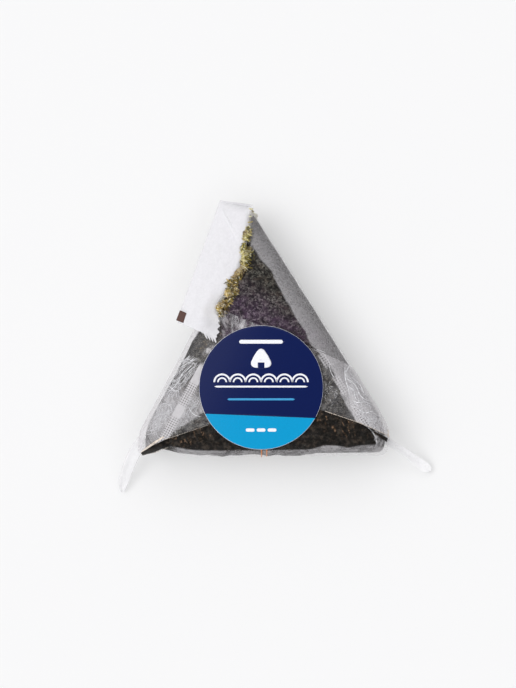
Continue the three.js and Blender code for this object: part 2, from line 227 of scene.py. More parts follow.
# Single long creases: corners, width and brightness
LEFT_LINES = (
    (((-28.1, 19.4), (-26.8, 17.2), (-25.2, 15.9), (-23.0, 15.5)), 0.26, 0.9),
    (((-31.0, 36.8), (-28.6, 37.7), (-26.4, 36.6), (-24.9, 34.6)), 0.22, 0.9),
    (((-33.0, 34.0), (-30.0, 35.2), (-27.4, 36.8), (-25.4, 37.6)), 0.22, 0.9),
    (((-36.8, 28.6), (-34.4, 26.4), (-32.6, 25.0)), 0.28, 0.85),
    (((-36.6, 24.2), (-34.0, 26.6), (-31.6, 28.8)), 0.28, 0.85),
    (((-40.0, 19.5), (-37.0, 20.6), (-34.6, 19.0), (-34.2, 16.4)), 0.24, 0.7),
    (((-41.5, 14.6), (-38.6, 16.4), (-36.2, 15.6)), 0.22, 0.65),
)
RIGHT_LINES = (
    (((32.6, 32.7), (33.6, 34.2), (34.7, 35.7)), 0.6, 0.85),
    (((32.2, 33.6), (32.6, 29.6), (33.6, 26.0), (34.4, 22.6)), 0.34, 1.0),
    (((32.9, 30.4), (36.4, 27.6), (38.4, 23.6), (41.6, 21.4)), 0.34, 1.0),
    (((34.6, 31.0), (38.0, 28.4), (39.8, 24.8), (42.2, 22.8)), 0.28, 0.95),
    (((33.4, 27.6), (35.6, 25.6), (36.4, 22.6), (38.4, 21.2)), 0.28, 0.95),
    (((35.0, 21.9), (37.2, 20.9), (40.2, 21.2), (42.9, 20.1)), 0.32, 1.0),
    (((34.6, 19.4), (37.0, 18.8), (39.6, 17.0), (43.2, 17.8)), 0.34, 0.95),
    (((38.0, 14.2), (40.0, 15.6), (42.2, 14.6), (43.9, 15.4)), 0.24, 0.7),
    (((26.2, 35.4), (26.9, 32.7), (28.1, 30.4)), 0.28, 0.75),
    (((21.2, 41.4), (22.9, 40.9), (24.8, 40.1)), 0.3, 0.5),
)
# How far in from the pack's edge a crease has to stay, and its steps
CREASE_MARGIN = 0.25
CREASE_STEPS = 18
EDGE_STEPS = 140
STRIP_GRID = (50, 8)

# Folded film edges: name, line in plan, then widths and brightness at even steps along it
LEFT_FLAP_EDGE = ("left_flap_edge", LEFT_FLAP_LOWER[1:3], (0.15, 0.15, 0.2), (0.3, 0.3, 0.5))
OTHER_EDGES = (
    ("left_under_edge", ((-46.7, 0.7), (-41.0, 1.9), (-36.0, 3.6)), (0.2, 0.35, 0.3), (0.3, 0.5, 0.3)),
    ("right_flap_edge", RIGHT_FLAP_LOWER[1:4], (0.28, 0.26, 0.26, 0.35), (0.5, 0.4, 0.5, 0.6)),
    ("right_end_edge", ((49.2, 10.6), (49.3, 7.6)), (0.5, 0.6, 0.4), (0.6, 0.7, 0.6)),
)
CORNER_FOLD_WIDTHS = (0.2, 0.4, 0.5, 0.4, 0.3)
CORNER_FOLD_TINTS = (0.2, 0.3, 0.35, 0.3, 0.2)
CORNER_FOLD_DROP = 8.6
CORNER_FOLD_AT = 39.2
CORNER_FOLD_OUT = 0.2
# Thin pieces ruled between two plan lines: the fold at the left corner, and dark nori-coloured strips
# that paint the shade in the gaps between the side flaps and the base flap
LEFT_CORNER_FOLD = (
    ((-46.6, 1.9), (-44.2, 3.7), (-41.2, 5.8), (-37.6, 8.0)),
    ((-46.5, 1.7), (-44.0, 3.0), (-40.9, 5.0), (-37.3, 7.5)),
)
GAP_SHADES = {
    "left_gap_shade": (((-46.5, 1.6), (-41.5, 4.4), (-35.5, 7.2)), ((-46.1, 0.7), (-41.5, 1.9), (-35.5, 4.2))),
    "right_gap_shade": (((38.5, 12.1), (44, 9.6), (49.0, 7.3)), ((38.5, 11.9), (44, 8.7), (48.6, 5.8))),
}
GAP_SHADE_LAYER = -0.05

# The tab: its edge on the face, its free edge, and the free edge's heights
TAB_INNER = (
    (-3.4, 99.6), (-4.6, 91.5), (-5.4, 84), (-6.6, 77.5), (-8.8, 71.5), (-12.2, 66),
    (-15.2, 60.5), (-16.6, 57), (-16.6, 52), (-17.0, 48.6), (-17.4, 45.6),
)
TAB_OUTER = ((-16.2, 101.2), (-19, 93), (-24, 78.7), (-28.4, 66), (-31.6, 57), (-32.4, 52.4))
TAB_OUTER_HEIGHT = (16, 17.5, 19.5, 20.5, 21, 21.2)
TAB_TIP_HEIGHT = 15.0
TAB_LIFT = 0.5
TAB_ROWS, TAB_COLUMNS, TAB_HELD = 150, 130, 22
TOOTH_PITCH = 1.25
TOOTH_DEPTH = 2.6
TOOTH_HEADING = (0.45, -0.89)
SIDE_TOOTH_PITCH = 2.4
SIDE_TOOTH_DEPTH = 1.1
SQUARE = ((-33.1, 53.3), (-30.3, 52.2), (-29.1, 56.0), (-31.6, 57.2))
SQUARE_STEPS = 12
SQUARE_HEIGHT = 22.2
SQUARE_SLOPE = 0.25

# Film tails: middle line, widths at even steps, seed, haze and colour
TAIL_ROWS, TAIL_SIDES = 70, 28
TAILS = {
    "left_tail": (
        ((-45.5, 7.6, 12.6), (-49.3, 2.6, 11), (-52.1, -3, 8), (-54.2, -8.6, 4.6), (-55.2, -13.6, 2.2)),
        (5, 5, 4.8, 4.2, 2.6), 101, 0.5, (0.885, 0.88, 0.895),
    ),
    # Painted light: the right tail's colour is set whiter than the left's to make up for the shade on its
    # side turned away from the sun
    "right_tail": (
        ((47.5, 8, 12.8), (52.4, 4.8, 11.4), (57.2, 1.9, 8.6), (62.2, -1.6, 5.4), (67.2, -5.1, 3.2)),
        (3.4, 2.8, 3.4, 4.1, 4.4), 102, 0.92, (0.99, 0.985, 0.995),
    ),
}

# The label: its disc, the line that parts its two fields, and the grids of its print
LABEL_CENTRE = (0.0, 26.7)
LABEL_RADIUS = 23.9
SPLIT_HEIGHT = -11.0
SPLIT_TILT = -0.04
LABEL_GRID = (160, 40)
FIELD_GRID = (200, 60)
FIELD_MARGIN = 0.1
MARK_GRID = (40, 6)
RING_GRID = (30, 4)
BALL_GRID = (91, 8)

# The tear tape: its two lines' names and x, their half width, and their steps on face and back
TEAR_LINES = {"tear_line_left": 0.2, "tear_line_right": 2.2}
TEAR_HALF_WIDTH = 0.22
TEAR_FACE_STEPS, TEAR_BACK_STEPS = 60, 220

# Colours from dark to light of the loose shreds, low and high on the torn edge; the off-white top stop is
# painted highlight
GOLD = (
    (0.0, (0.020, 0.013, 0.007)), (0.3, (0.065, 0.052, 0.012)), (0.5, (0.22, 0.16, 0.018)),
    (0.7, (0.52, 0.34, 0.06)), (0.88, (0.80, 0.62, 0.29)), (1.0, (0.88, 0.82, 0.66)),
)
OLIVE = (
    (0.0, (0.014, 0.013, 0.006)), (0.45, (0.11, 0.10, 0.010)), (0.75, (0.42, 0.37, 0.035)),
    (1.0, (0.86, 0.84, 0.50)),
)
OLIVE_FROM, OLIVE_TO = 70, 77

# Light: where the broad sun stands, and the heights between which the sky turns dark straight
# above and dim near the horizon, as shares from the horizon to the zenith
SUN_FROM = (-0.48, 0.06, 0.875)
ZENITH_EDGE = (0.88, 0.96)
HORIZON_EDGE = (0.5, 0.8)
# A straight edge in the sky straight above, brighter on its left: x and y of the direction that
# it faces, how far over it stands, and its half width
BLIND_EDGE = (-0.913, 0.408, 0.047)
BLIND_SOFTNESS = 0.006
FLOOR_SIZE = 5.0
FLOOR_HEIGHT = -0.15

# The photo's frame: its height, pixels in a millimetre, and the pixels of the label's middle
# and of the camera's axis
PHOTO_HEIGHT = 688
PIXELS_PER_MM = 124.5 / 48
LABEL_PIXEL = (261.1, 387.4)
AXIS_PIXEL = (258, 344)
SENSOR = 36


def frame_shift():
    """Offset from the plan's sizes to the frame: the label's middle and the nori's underside."""
    label_low, label_high = (np.array(corner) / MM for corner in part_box("label"))
    middle = (label_low + label_high) / 2
    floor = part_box("nori_wrap")[0][2] / MM
    return np.array([middle[0] - LABEL_CENTRE[0], middle[1] - LABEL_CENTRE[1], floor - NORI_FLOOR])


SHIFT = frame_shift()


def place(points):
    """Plan sizes in millimetres to metres in the frame."""
    return (np.asarray(points, float) + SHIFT) * MM


# Numbers that vary over space

def noise(x, y, z, cell, seed):
    """Smooth random values from -1 to 1: a seeded cubic lattice of the given cell, blended
    between its corners by a smooth step along each axis."""
    values = np.random.default_rng(seed).uniform(-1, 1, (LATTICE_SIZE,) * 3)
    base = [np.floor(np.asarray(axis) / cell).astype(int) for axis in (x, y, z)]
    part = [np.asarray(axis) / cell - low for axis, low in zip((x, y, z), base)]
    part = [share * share * (3 - 2 * share) for share in part]
    result = 0.0
    for corner in np.ndindex(2, 2, 2):
        weights = [share if far else 1 - share for share, far in zip(part, corner)]
        index = tuple((low + far) % LATTICE_SIZE for low, far in zip(base, corner))
        result = result + weights[0] * weights[1] * weights[2] * values[index]
    return result


def noise_on(x, y, z=None):
    """The noise at given points, flat in plan without z, for a cell in mm and a seed."""
    height = 0 * x if z is None else z
    return lambda cell, seed: noise(x, y, height, cell, seed)


def streaks(x, y, slant, size, seed):
    """Long narrow noise in plan, of a width and length, its streaks leaning by a slant."""
    return noise_on((x + slant * y) / size[0], (y - slant * x) / size[1])(1.0, seed)


def smooth_step(value, low, high):
    """0 below low, 1 above high, and an even S curve between."""
    share = np.clip((value - low) / (high - low), 0, 1)
    return share * share * (3 - 2 * share)


def bell(value, width):
    """1 at zero, falling off to both sides over a width."""
    return np.exp(-((value / width) ** 2))


def along_line(line, share, by_length=False):
    """Points on a polyline at shares of its number of corners, or of its length."""
    corners = np.asarray(line, float)
    run = np.arange(len(corners))
    if by_length:
        run = np.concatenate([[0], np.cumsum(np.linalg.norm(np.diff(corners, axis=0), axis=1))])
    columns = [np.interp(np.asarray(share) * run[-1], run, column) for column in corners.T]
    return np.stack(columns, -1)


def smooth_line(line, count):
    """A Catmull-Rom curve through the points of a line."""
    corners = np.asarray(line, float)
    padded = np.concatenate([[2 * corners[0] - corners[1]], corners, [2 * corners[-1] - corners[-2]]])
    place_on = np.linspace(0, len(corners) - 1, count)
    index = np.minimum(place_on.astype(int), len(corners) - 2)
    t = (place_on - index)[:, None]
    p0, p1, p2, p3 = (padded[index + k] for k in range(4))
    square = 2 * p0 - 5 * p1 + 4 * p2 - p3
    cubic = 3 * p1 - p0 - 3 * p2 + p3
    return 0.5 * (2 * p1 + (p2 - p0) * t + square * t**2 + cubic * t**3)


def line_distance(x, y, line):
    """Signed distance in plan from a polyline: that of the nearest stretch, positive on the
    left hand of its run."""
    best = np.full(np.shape(x), np.inf)
    signed = np.zeros(np.shape(x))
    for (x0, y0), (x1, y1) in zip(line[:-1], line[1:]):
        run_x, run_y = x1 - x0, y1 - y0
        length = np.hypot(run_x, run_y)
        share = np.clip(((x - x0) * run_x + (y - y0) * run_y) / length**2, 0, 1)
        away = np.hypot(x - x0 - share * run_x, y - y0 - share * run_y)
        side = np.sign(run_x * (y - y0) - run_y * (x - x0))
        signed = np.where(away < best, side * away, signed)
        best = np.minimum(best, away)
    return signed


def patch(x, y, centre, size, turn=0.0):
    """A soft oval in plan, turned by degrees: 1 inside, 0 outside."""
    angle = np.radians(turn)
    u = (x - centre[0]) * np.cos(angle) + (y - centre[1]) * np.sin(angle)
    v = (y - centre[1]) * np.cos(angle) - (x - centre[0]) * np.sin(angle)
    return 1 - smooth_step(np.hypot(u / size[0], v / size[1]), 0.5, 1.5)


def wall_fade(x, y, z):
    """How much of the film's haze is left at a height: all of it on the face, and a small
    share low on the walls, with an uneven border."""
    return WALL_HAZE + (1 - WALL_HAZE) * smooth_step(z + 3 * noise(x, y, z, 9.0, 96), *WALL_FADE)


def one_wall(cover):
    """Alpha of each of a thin sheet's two walls, for how much the sheet hides in all."""
    return 1 - np.sqrt(1 - np.clip(cover, 0, MOST_COVER))


# The pack's form

def side_distance(x, y, side):
    """Distance in from one side: the chord's, plus a parabola for the side's bow."""
    (x0, y0), (x1, y1), bow = SIDES[side][:3]
    run_x, run_y = x1 - x0, y1 - y0
    length = np.hypot(run_x, run_y)
    share = np.clip(((x - x0) * run_x + (y - y0) * run_y) / length**2, 0, 1)
    distance = (run_x * (y - y0) - run_y * (x - x0)) / length + bow * 4 * share * (1 - share)
    if side == BASE:
        distance = distance - BASE_DENT["depth"] * bell(x - BASE_DENT["at"], BASE_DENT["width"])
    return distance


def depth_at(x, y):
    """Depth inside the outline as a soft minimum over the sides, with the shoulder radius and
    the nori's slack there, blended by how near each side is."""
    total = shoulder = slack = 0.0
    for side, (*_, radius, side_slack) in enumerate(SIDES):
        weight = np.exp(-np.clip(side_distance(x, y, side), -60, 400) / CORNER_SOFTNESS)
        total = total + weight
        shoulder = shoulder + weight * radius
        slack = slack + weight * side_slack
    return -CORNER_SOFTNESS * np.log(total), shoulder / total, slack / total


def rise(depth, radius):
    """Rounded rise from the edge to the face, a superellipse: 0 at the edge, 1 inside."""
    share = np.clip(depth / radius, 0, 1)
    return (1 - (1 - share) ** SHOULDER_POWER) ** (1 / SHOULDER_POWER)


def face_height(x, y, layer, slack=0.0, roundness=1.0):
    """Height of the upper face at one layer, drawn in from the film's edge by slack."""
    depth, shoulder, side_slack = depth_at(x, y)
    away = np.hypot(x - CENTRE[0], y - CENTRE[1]) / CROWN_REACH
    face = THICKNESS + CROWN * (1 - np.minimum(1, away**2)) + layer
    lift = rise(depth + layer - slack * side_slack, shoulder * roundness)
    return EDGE_HEIGHT + (face - EDGE_HEIGHT) * lift


def underside_height(x, y, layer, slack=0.0):
    """Height of the flat underside at one layer, with its rounded edge."""
    depth, _, side_slack = depth_at(x, y)
    return EDGE_HEIGHT - (EDGE_HEIGHT + layer) * rise(depth + layer - slack * side_slack, UNDERSIDE_RADIUS)


def on_face(x, y, layer):
    """Plan points laid on the face at one layer."""
    return np.stack([x, y, face_height(x, y, layer)], -1)


def reach(angle, layer, slack=0.0):
    """How far the outline of a layer lies from the centre along each angle, by halving."""
    near = np.zeros_like(angle)
    far = np.full_like(angle, FARTHEST)
    for _ in range(HALVINGS):
        middle = (near + far) / 2
        x = CENTRE[0] + np.cos(angle) * middle
        y = CENTRE[1] + np.sin(angle) * middle
        depth, _, side_slack = depth_at(x, y)
        inside = depth + layer - slack * side_slack > 0
        near = np.where(inside, middle, near)
        far = np.where(inside, far, middle)
    return near


def pack_surface(directions, face_rings, underside_rings, layer, slack=0.0, roundness=1.0):
    """The pack's whole form at one layer as a grid of two parameters: the direction round its
    middle, and the way from the middle of the face over the edge to the middle below."""
    angle = np.linspace(0, 2 * np.pi, directions, endpoint=False)
    radius = reach(angle, layer, slack)
    out = 1 - np.linspace(1, 0, face_rings) ** RING_CROWDING
    back = 1 - np.linspace(0, 1, underside_rings + 1)[1:] ** RING_CROWDING
    share = np.concatenate([out, back])[None, :]
    x = CENTRE[0] + np.cos(angle)[:, None] * radius[:, None] * share
    y = CENTRE[1] + np.sin(angle)[:, None] * radius[:, None] * share
    below = np.arange(share.shape[1]) >= face_rings
    z = np.where(below, underside_height(x, y, layer, slack), face_height(x, y, layer, slack, roundness))
    z[:, face_rings - 1] = EDGE_HEIGHT
    return np.stack([x, y, z], -1)


def pushed_out(grid, amount):
    """A pack-shaped grid with each point moved away from the pack's middle by an amount."""
    outward = grid - np.array([*CENTRE, EDGE_HEIGHT])
    outward /= np.maximum(np.linalg.norm(outward, axis=-1, keepdims=True), 1e-6)
    return grid + outward * amount[..., None]


# Meshes from grids

def grid_quads(rows, columns, wrap=False):
    """Corner numbers of a grid's quads; wrap joins the last row to the first."""
    i, j = np.meshgrid(np.arange(rows if wrap else rows - 1), np.arange(columns - 1))
    start = (i * columns + j).ravel()
    after = ((i + 1) % rows * columns + j).ravel()
    return np.stack([start, after, after + 1, start + 1], -1)


def polar_faces(rows, width):
    """Faces of a closed direction by ring grid whose two poles are its last two points."""
    top, bottom = rows * width, rows * width + 1
    start = np.arange(rows) * width
    after = np.roll(start, -1)
    fan = np.stack([np.full(rows, top), start, after], -1)
    floor = np.stack([np.full(rows, bottom), after + width - 1, start + width - 1], -1)
    return [*grid_quads(rows, width, wrap=True)[:, ::-1], *fan, *floor]


def new_object(name, points, faces, values=None):
    """A smooth mesh object at the origin from plan points and faces, with values per point."""
    mesh = bpy.data.meshes.new(name)
    mesh.from_pydata(place(points).tolist(), [], [list(map(int, face)) for face in faces])
    for key, data in (values or {}).items():
        kind, field = ("FLOAT", "value") if np.ndim(data) == 1 else ("FLOAT_VECTOR", "vector")
        layer = mesh.attributes.new(key, kind, "POINT")
        layer.data.foreach_set(field, np.ascontiguousarray(data, np.float32).ravel())
    mesh.polygons.foreach_set("use_smooth", np.full(len(mesh.polygons), True))
    mesh.update()
    made = bpy.data.objects.new(name, mesh)
    bpy.context.scene.collection.objects.link(made)
    return made


def walled(made, thickness, offset=-1):
    """A piece with a wall of so many millimetres: inwards, or to both sides at offset 0."""
    wall = made.modifiers.new("wall", "SOLIDIFY")
    wall.thickness = thickness * MM
    wall.offset = offset
    return made


def closed_polar(name, grid, values=None):
    """A closed mesh from a direction by ring grid whose first and last rings are poles."""
    points = np.concatenate([grid[:, 1:-1].reshape(-1, 3), grid[:1, 0], grid[:1, -1]])
    kept = {}
    for key, data in (values or {}).items():
        kept[key] = np.concatenate([data[:, 1:-1].ravel(), data[:1, 0], data[:1, -1]])
    return new_object(name, points, polar_faces(len(grid), grid.shape[1] - 2), kept)


def open_sheet(name, grid, thickness, values=None, flip=False):
    """A thin closed sheet: a grid of points with a wall of the given thickness in mm."""
    rows, columns = grid.shape[:2]
    quads = grid_quads(rows, columns)[:, :: -1 if flip else 1]
    flat = {key: data.reshape(rows * columns, *data.shape[2:]) for key, data in (values or {}).items()}
    return walled(new_object(name, grid.reshape(-1, 3), quads, flat), thickness, 0)


def ribbons(name, paths, widths, thickness, tint):
    """Narrow strips along many paths: paths is (number, points, 3), widths (number, points).
    Each strip spreads to both sides of its path in plan."""
    number, count = paths.shape[:2]
    ahead = np.gradient(paths[..., :2], axis=1)
    length = np.maximum(np.linalg.norm(ahead, axis=-1, keepdims=True), 1e-6)
    across = np.stack([-ahead[..., 1], ahead[..., 0]], -1) / length
    pair = np.stack([paths, paths], 2)
    pair[:, :, 0, :2] -= across * (widths[..., None] / 2)
    pair[:, :, 1, :2] += across * (widths[..., None] / 2)
    faces = (grid_quads(count, 2)[None] + (np.arange(number) * count * 2)[:, None, None]).reshape(-1, 4)
    values = {"tint": np.repeat(np.broadcast_to(tint, (number, count)).ravel(), 2)}
    return walled(new_object(name, pair.reshape(-1, 3), faces, values), thickness)


def finish_piece(piece, material, slot, *nodes):
    """Dresses a piece, hangs it on the root body and hides the nodes that it replaces. The slot argument is
    not used.
    """
    piece.data.materials.append(material)
    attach(piece, "root")
    if nodes:
        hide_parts(*nodes)


# Shader helpers

def set_inputs(tree, node, inputs):
    """Sets a node's inputs to values, or joins them to sockets. A colour is made solid."""
    for name, value in inputs.items():
        socket = node.inputs[name]
        if isinstance(value, bpy.types.NodeSocket):
            tree.links.new(value, socket)
        else:
            socket.default_value = (*value, 1) if socket.type == "RGBA" else value
    return node


def add_node(tree, kind, inputs, **settings):
    """A node with its settings and its inputs."""
    node = tree.nodes.new(kind)
    for name, value in settings.items():
        setattr(node, name, value)
    return set_inputs(tree, node, inputs)


def maths(tree, operation, *values):
    """One operation on up to three numbers."""
    return add_node(tree, "ShaderNodeMath", dict(enumerate(values)), operation=operation).outputs[0]


def times(tree, first, second):
    """One number times another."""
    return maths(tree, "MULTIPLY", first, second)


def mapped(tree, value, *limits):
    """A value spread from the range of the first two limits to that of the last two."""
    inputs = dict(enumerate((value, *limits)))
    return add_node(tree, "ShaderNodeMapRange", inputs, clamp=True).outputs[0]


def held_alpha(tree, value, most):
    """An alpha kept between the least and the most that film has."""
    inputs = {"Value": value, "Min": LEAST_ALPHA, "Max": most}
    return add_node(tree, "ShaderNodeClamp", inputs).outputs[0]


def ramp(tree, value, *stops):
    """A colour ramp with stops of (position, colour)."""
    node = add_node(tree, "ShaderNodeValToRGB", {0: value})
    elements = node.color_ramp.elements
    while len(elements) < len(stops):
        elements.new(0.5)
    for element, (position, colour) in zip(elements, stops):
        element.position = position
        element.color = (*colour, 1)
    return node.outputs[0]


def mixed(tree, share, first, second):
    """Two colours mixed by a share."""
    return add_node(tree, "ShaderNodeMix", {0: share, 6: first, 7: second}, data_type="RGBA").outputs[2]


def attribute(tree, name, output="Fac"):
    """A value kept per point of the mesh."""
    return add_node(tree, "ShaderNodeAttribute", {}, attribute_name=name).outputs[output]


def millimetres(tree):
    """Object coordinates in millimetres."""
    coordinates = add_node(tree, "ShaderNodeTexCoord", {}).outputs["Object"]
    return add_node(tree, "ShaderNodeMapping", {"Vector": coordinates, "Scale": (1000,) * 3}).outputs[0]


def group_tree(name, inputs, outputs):
    """A new shader node group with float sockets: its tree, its given values and its end."""
    tree = bpy.data.node_groups.new(name, "ShaderNodeTree")
    for label, default in inputs.items():
        socket = tree.interface.new_socket(label, in_out="INPUT", socket_type="NodeSocketFloat")
        socket.default_value = default
    for label in outputs:
        tree.interface.new_socket(label, in_out="OUTPUT", socket_type="NodeSocketFloat")
    return tree, tree.nodes.new("NodeGroupInput").outputs, tree.nodes.new("NodeGroupOutput")


def use_group(tree, name, inputs):
    """A node group placed with its own values, and its outputs."""
    return add_node(tree, "ShaderNodeGroup", inputs, node_tree=bpy.data.node_groups[name]).outputs


def mottle(tree, grain, low=0.3, high=0.7):
    """The mottle group's mask at one grain."""
    return use_group(tree, "mottle", {"Grain": grain, "Low": low, "High": high})["Mask"]


def mottle_group():
    """Fine uneven mottling: one many-layered noise, spread to a mask from 0 to 1. Grain is the
    size of its coarsest lumps in millimetres."""
    tree, given, end = group_tree("mottle", {"Grain": 1.0, "Low": 0.35, "High": 0.65}, ["Mask"])
    scale = maths(tree, "DIVIDE", 1.0, given["Grain"])
    inputs = {"Vector": millimetres(tree), "Scale": scale, "Detail": 4, "Roughness": 0.72}
    lumps = add_node(tree, "ShaderNodeTexNoise", inputs).outputs[0]
    set_inputs(tree, end, {"Mask": mapped(tree, lumps, given["Low"], given["High"], 0.0, 1.0)})


def haze_group():
    """How much a film hides what is behind it: a haze from 0 to 1, clouded by two mottles,
    with a height for fine wrinkles."""
    sizes = {"Haze": 0.3, "Cloud": 0.3, "Grain": 2.0, "Fineness": 0.35}
    tree, given, end = group_tree("film haze", sizes, ["Alpha", "Height"])
    coarse, fine = mottle(tree, given["Grain"]), mottle(tree, given["Fineness"])
    both = maths(tree, "MULTIPLY_ADD", fine, 0.5, times(tree, coarse, 0.5))
    swing = times(tree, maths(tree, "SUBTRACT", both, 0.5), given["Cloud"])
    alpha = times(tree, given["Haze"], maths(tree, "MULTIPLY_ADD", swing, 2.0, 1.0))
    set_inputs(tree, end, {"Alpha": held_alpha(tree, alpha, 0.98), "Height": both})


def seal_dots_group():
    """A heat seal's pattern on the band's own axes: rows and columns of round dots inside the
    band's width. Along and Across are distances in millimetres."""
    sizes = {"Along": 0.0, "Across": 0.0, "Pitch": 0.85, "Radius": 0.26, "Half width": 1.8}
    tree, given, end = group_tree("seal dots", sizes, ["Dots", "Band"])
    squares = []
    for axis in ("Along", "Across"):
        part = maths(tree, "FRACT", maths(tree, "DIVIDE", given[axis], given["Pitch"]))
        offset = times(tree, maths(tree, "SUBTRACT", part, 0.5), given["Pitch"])
        squares.append(times(tree, offset, offset))
    distance = maths(tree, "SQRT", maths(tree, "ADD", *squares))
    dot = mapped(tree, maths(tree, "SUBTRACT", given["Radius"], distance), -0.06, 0.06, 0.0, 1.0)
    side = maths(tree, "SUBTRACT", given["Half width"], maths(tree, "ABSOLUTE", given["Across"]))
    band = mapped(tree, side, -0.15, 0.15, 0.0, 1.0)
    set_inputs(tree, end, {"Dots": times(tree, dot, band), "Band": band})


def strands_group():
    """A ragged net of fine strands: the borders of shaken cells, broken up by a mottle."""
    tree, given, end = group_tree("strands", {"Cell": 1.5, "Width": 0.1}, ["Mask"])
    where = millimetres(tree)
    shake = add_node(tree, "ShaderNodeTexNoise", {"Vector": where, "Scale": 0.9, "Detail": 2})
    inputs = {0: shake.outputs["Color"], 1: (0.5, 0.5, 0.5)}
    centred = add_node(tree, "ShaderNodeVectorMath", inputs, operation="SUBTRACT").outputs[0]
    inputs = {0: centred, 1: (2.4, 2.4, 2.4), 2: where}
    pushed = add_node(tree, "ShaderNodeVectorMath", inputs, operation="MULTIPLY_ADD").outputs[0]
    inputs = {"Vector": pushed, "Scale": maths(tree, "DIVIDE", 1.0, given["Cell"])}
    net = add_node(tree, "ShaderNodeTexVoronoi", inputs, feature="DISTANCE_TO_EDGE")
    line = mapped(tree, net.outputs["Distance"], 0.0, given["Width"], 1.0, 0.0)
    set_inputs(tree, end, {"Mask": times(tree, line, mottle(tree, 2.2, 0.42, 0.58))})


def new_material(name):
    """A material, its node tree and its shader."""
    material = bpy.data.materials.new(name)
    material.use_nodes = True
    return material, material.node_tree, material.node_tree.nodes["Principled BSDF"]


def bump(tree, height, distance, strength=1.0):
    """A normal from a height, with its full depth in millimetres."""
    inputs = {"Height": height, "Distance": distance * MM, "Strength": strength}
    return add_node(tree, "ShaderNodeBump", inputs).outputs[0]


# Materials

def nori_material(look, name="nori", worn=(0.13, 0.085, 0.02), frayed=(0.30, 0.20, 0.08), low=0.54):
    """Dry roasted seaweed: near-black brown with lighter fibres and strands, a purple cast low
    on the upper face, and olive and gold where the sheet is thin."""
    material, tree, shader = new_material(name)
    fibres = mottle(tree, 2.6, 0.40, 0.63)
    flecks = mottle(tree, 1.1, low, low + 0.12)
    strands = use_group(tree, "strands", {"Cell": 1.05, "Width": 0.15})["Mask"]
    purple = attribute(tree, "purple")
    body = ramp(tree, fibres, (0.0, look.dark), (0.5, look.mid), (1.0, look.light))
    cast = mixed(tree, fibres, tuple(0.25 * part for part in look.purple), look.purple)
    speck = ramp(tree, flecks, (0.0, (0.035, 0.022, 0.008)), (0.5, worn), (1.0, frayed))
    thin = times(tree, attribute(tree, "thin"), mapped(tree, flecks, 0.0, 0.5, 0.3, 1.0))
    pale = times(tree, attribute(tree, "pale"), maths(tree, "MAXIMUM", flecks, strands))
    fleck = mixed(tree, purple, (0.46, 0.44, 0.38), look.fleck)
    flecked = mixed(tree, pale, mixed(tree, purple, body, cast), fleck)
    inputs = {"Base Color": mixed(tree, thin, flecked, speck), "Specular IOR Level": 0.08}
    inputs["Roughness"] = mapped(tree, fibres, 0, 1, 0.45, 0.7)
    inputs["Normal"] = bump(tree, maths(tree, "ADD", fibres, strands), 0.16, 0.8)
    set_inputs(tree, shader, inputs)
    return material


def rice_material(look):
    """Boiled rice: off-white, faintly translucent, with cloudy ends."""
    material, tree, shader = new_material("rice")
    colour = ramp(tree, mottle(tree, 1.6, 0.35, 0.7), (0.0, (0.72, 0.68, 0.58)), (1.0, look.colour))
    inputs = {"Base Color": colour, "Roughness": 0.38, "Subsurface Weight": 0.25}
    set_inputs(tree, shader, {**inputs, "Subsurface Radius": (0.0012, 0.001, 0.0008)})
    return material


def shred_material():
    """Loose shreds of nori, from dark olive over gold to pale straw by each one's own tint,
    greener towards the tip. The off-white top of the tint is painted highlight."""
    material, tree, shader = new_material("nori shreds")
    golden, olive = (ramp(tree, attribute(tree, "tint"), *stops) for stops in (GOLD, OLIVE))
    up = add_node(tree, "ShaderNodeSeparateXYZ", {0: millimetres(tree)}).outputs[1]
    greener = mapped(tree, up, OLIVE_FROM + SHIFT[1], OLIVE_TO + SHIFT[1], 0.1, 0.7)
    browned = times(tree, mottle(tree, 6.0, 0.50, 0.60), 0.6)
    colour = mixed(tree, browned, mixed(tree, greener, golden, olive), (0.17, 0.095, 0.045))
    grain = mottle(tree, 0.4)
    inputs = {"Base Color": colour, "Roughness": mapped(tree, grain, 0, 1, 0.45, 0.7)}
    set_inputs(tree, shader, {**inputs, "Normal": bump(tree, grain, 0.05)})
    return material


def film_material(name, colour, haze, cloud, grain, fineness, roughness, relief, varied=True):
    """Wrapping film: white haze over what lies behind, through Alpha. A varied film has its
    haze per point on top."""
    material, tree, shader = new_material(name)
    amount = maths(tree, "ADD", attribute(tree, "haze"), haze) if varied else haze
    out = use_group(tree, "film haze", {"Haze": amount, "Cloud": cloud, "Grain": grain, "Fineness": fineness})
    inputs = {"Alpha": out["Alpha"], "Base Color": colour, "Normal": bump(tree, out["Height"], relief)}
    inputs["Roughness"] = mapped(tree, out["Height"], 0, 1, roughness * 0.7, roughness * 1.3)
    set_inputs(tree, shader, inputs)
    return material, tree, shader, out


def sealed_film_material(name, look, seal):
    """Flap film with its heat seal: a whiter band crossed by rows of clear dots."""
    film = film_material(name, look.colour, 0.0, look.cloud, 1.7, 0.5, look.roughness, 0.12)
    material, tree, shader, out = film
    axes = add_node(tree, "ShaderNodeSeparateXYZ", {0: attribute(tree, "band", "Vector")}).outputs
    dots = use_group(tree, "seal dots", {"Along": axes[0], "Across": axes[1], **seal["dots"]})
    white = times(tree, dots["Band"], attribute(tree, "seal"))
    rest = times(tree, out["Alpha"], maths(tree, "SUBTRACT", 1.0, white))
    sealed = maths(tree, "MULTIPLY_ADD", white, look.seal_cover, rest)
    pressed = times(tree, dots["Dots"], axes[2])
    alpha = times(tree, sealed, maths(tree, "MULTIPLY_ADD", pressed, -look.dot_depth, 1.0))
    set_inputs(tree, shader, {"Alpha": held_alpha(tree, alpha, MOST_COVER)})
    return material


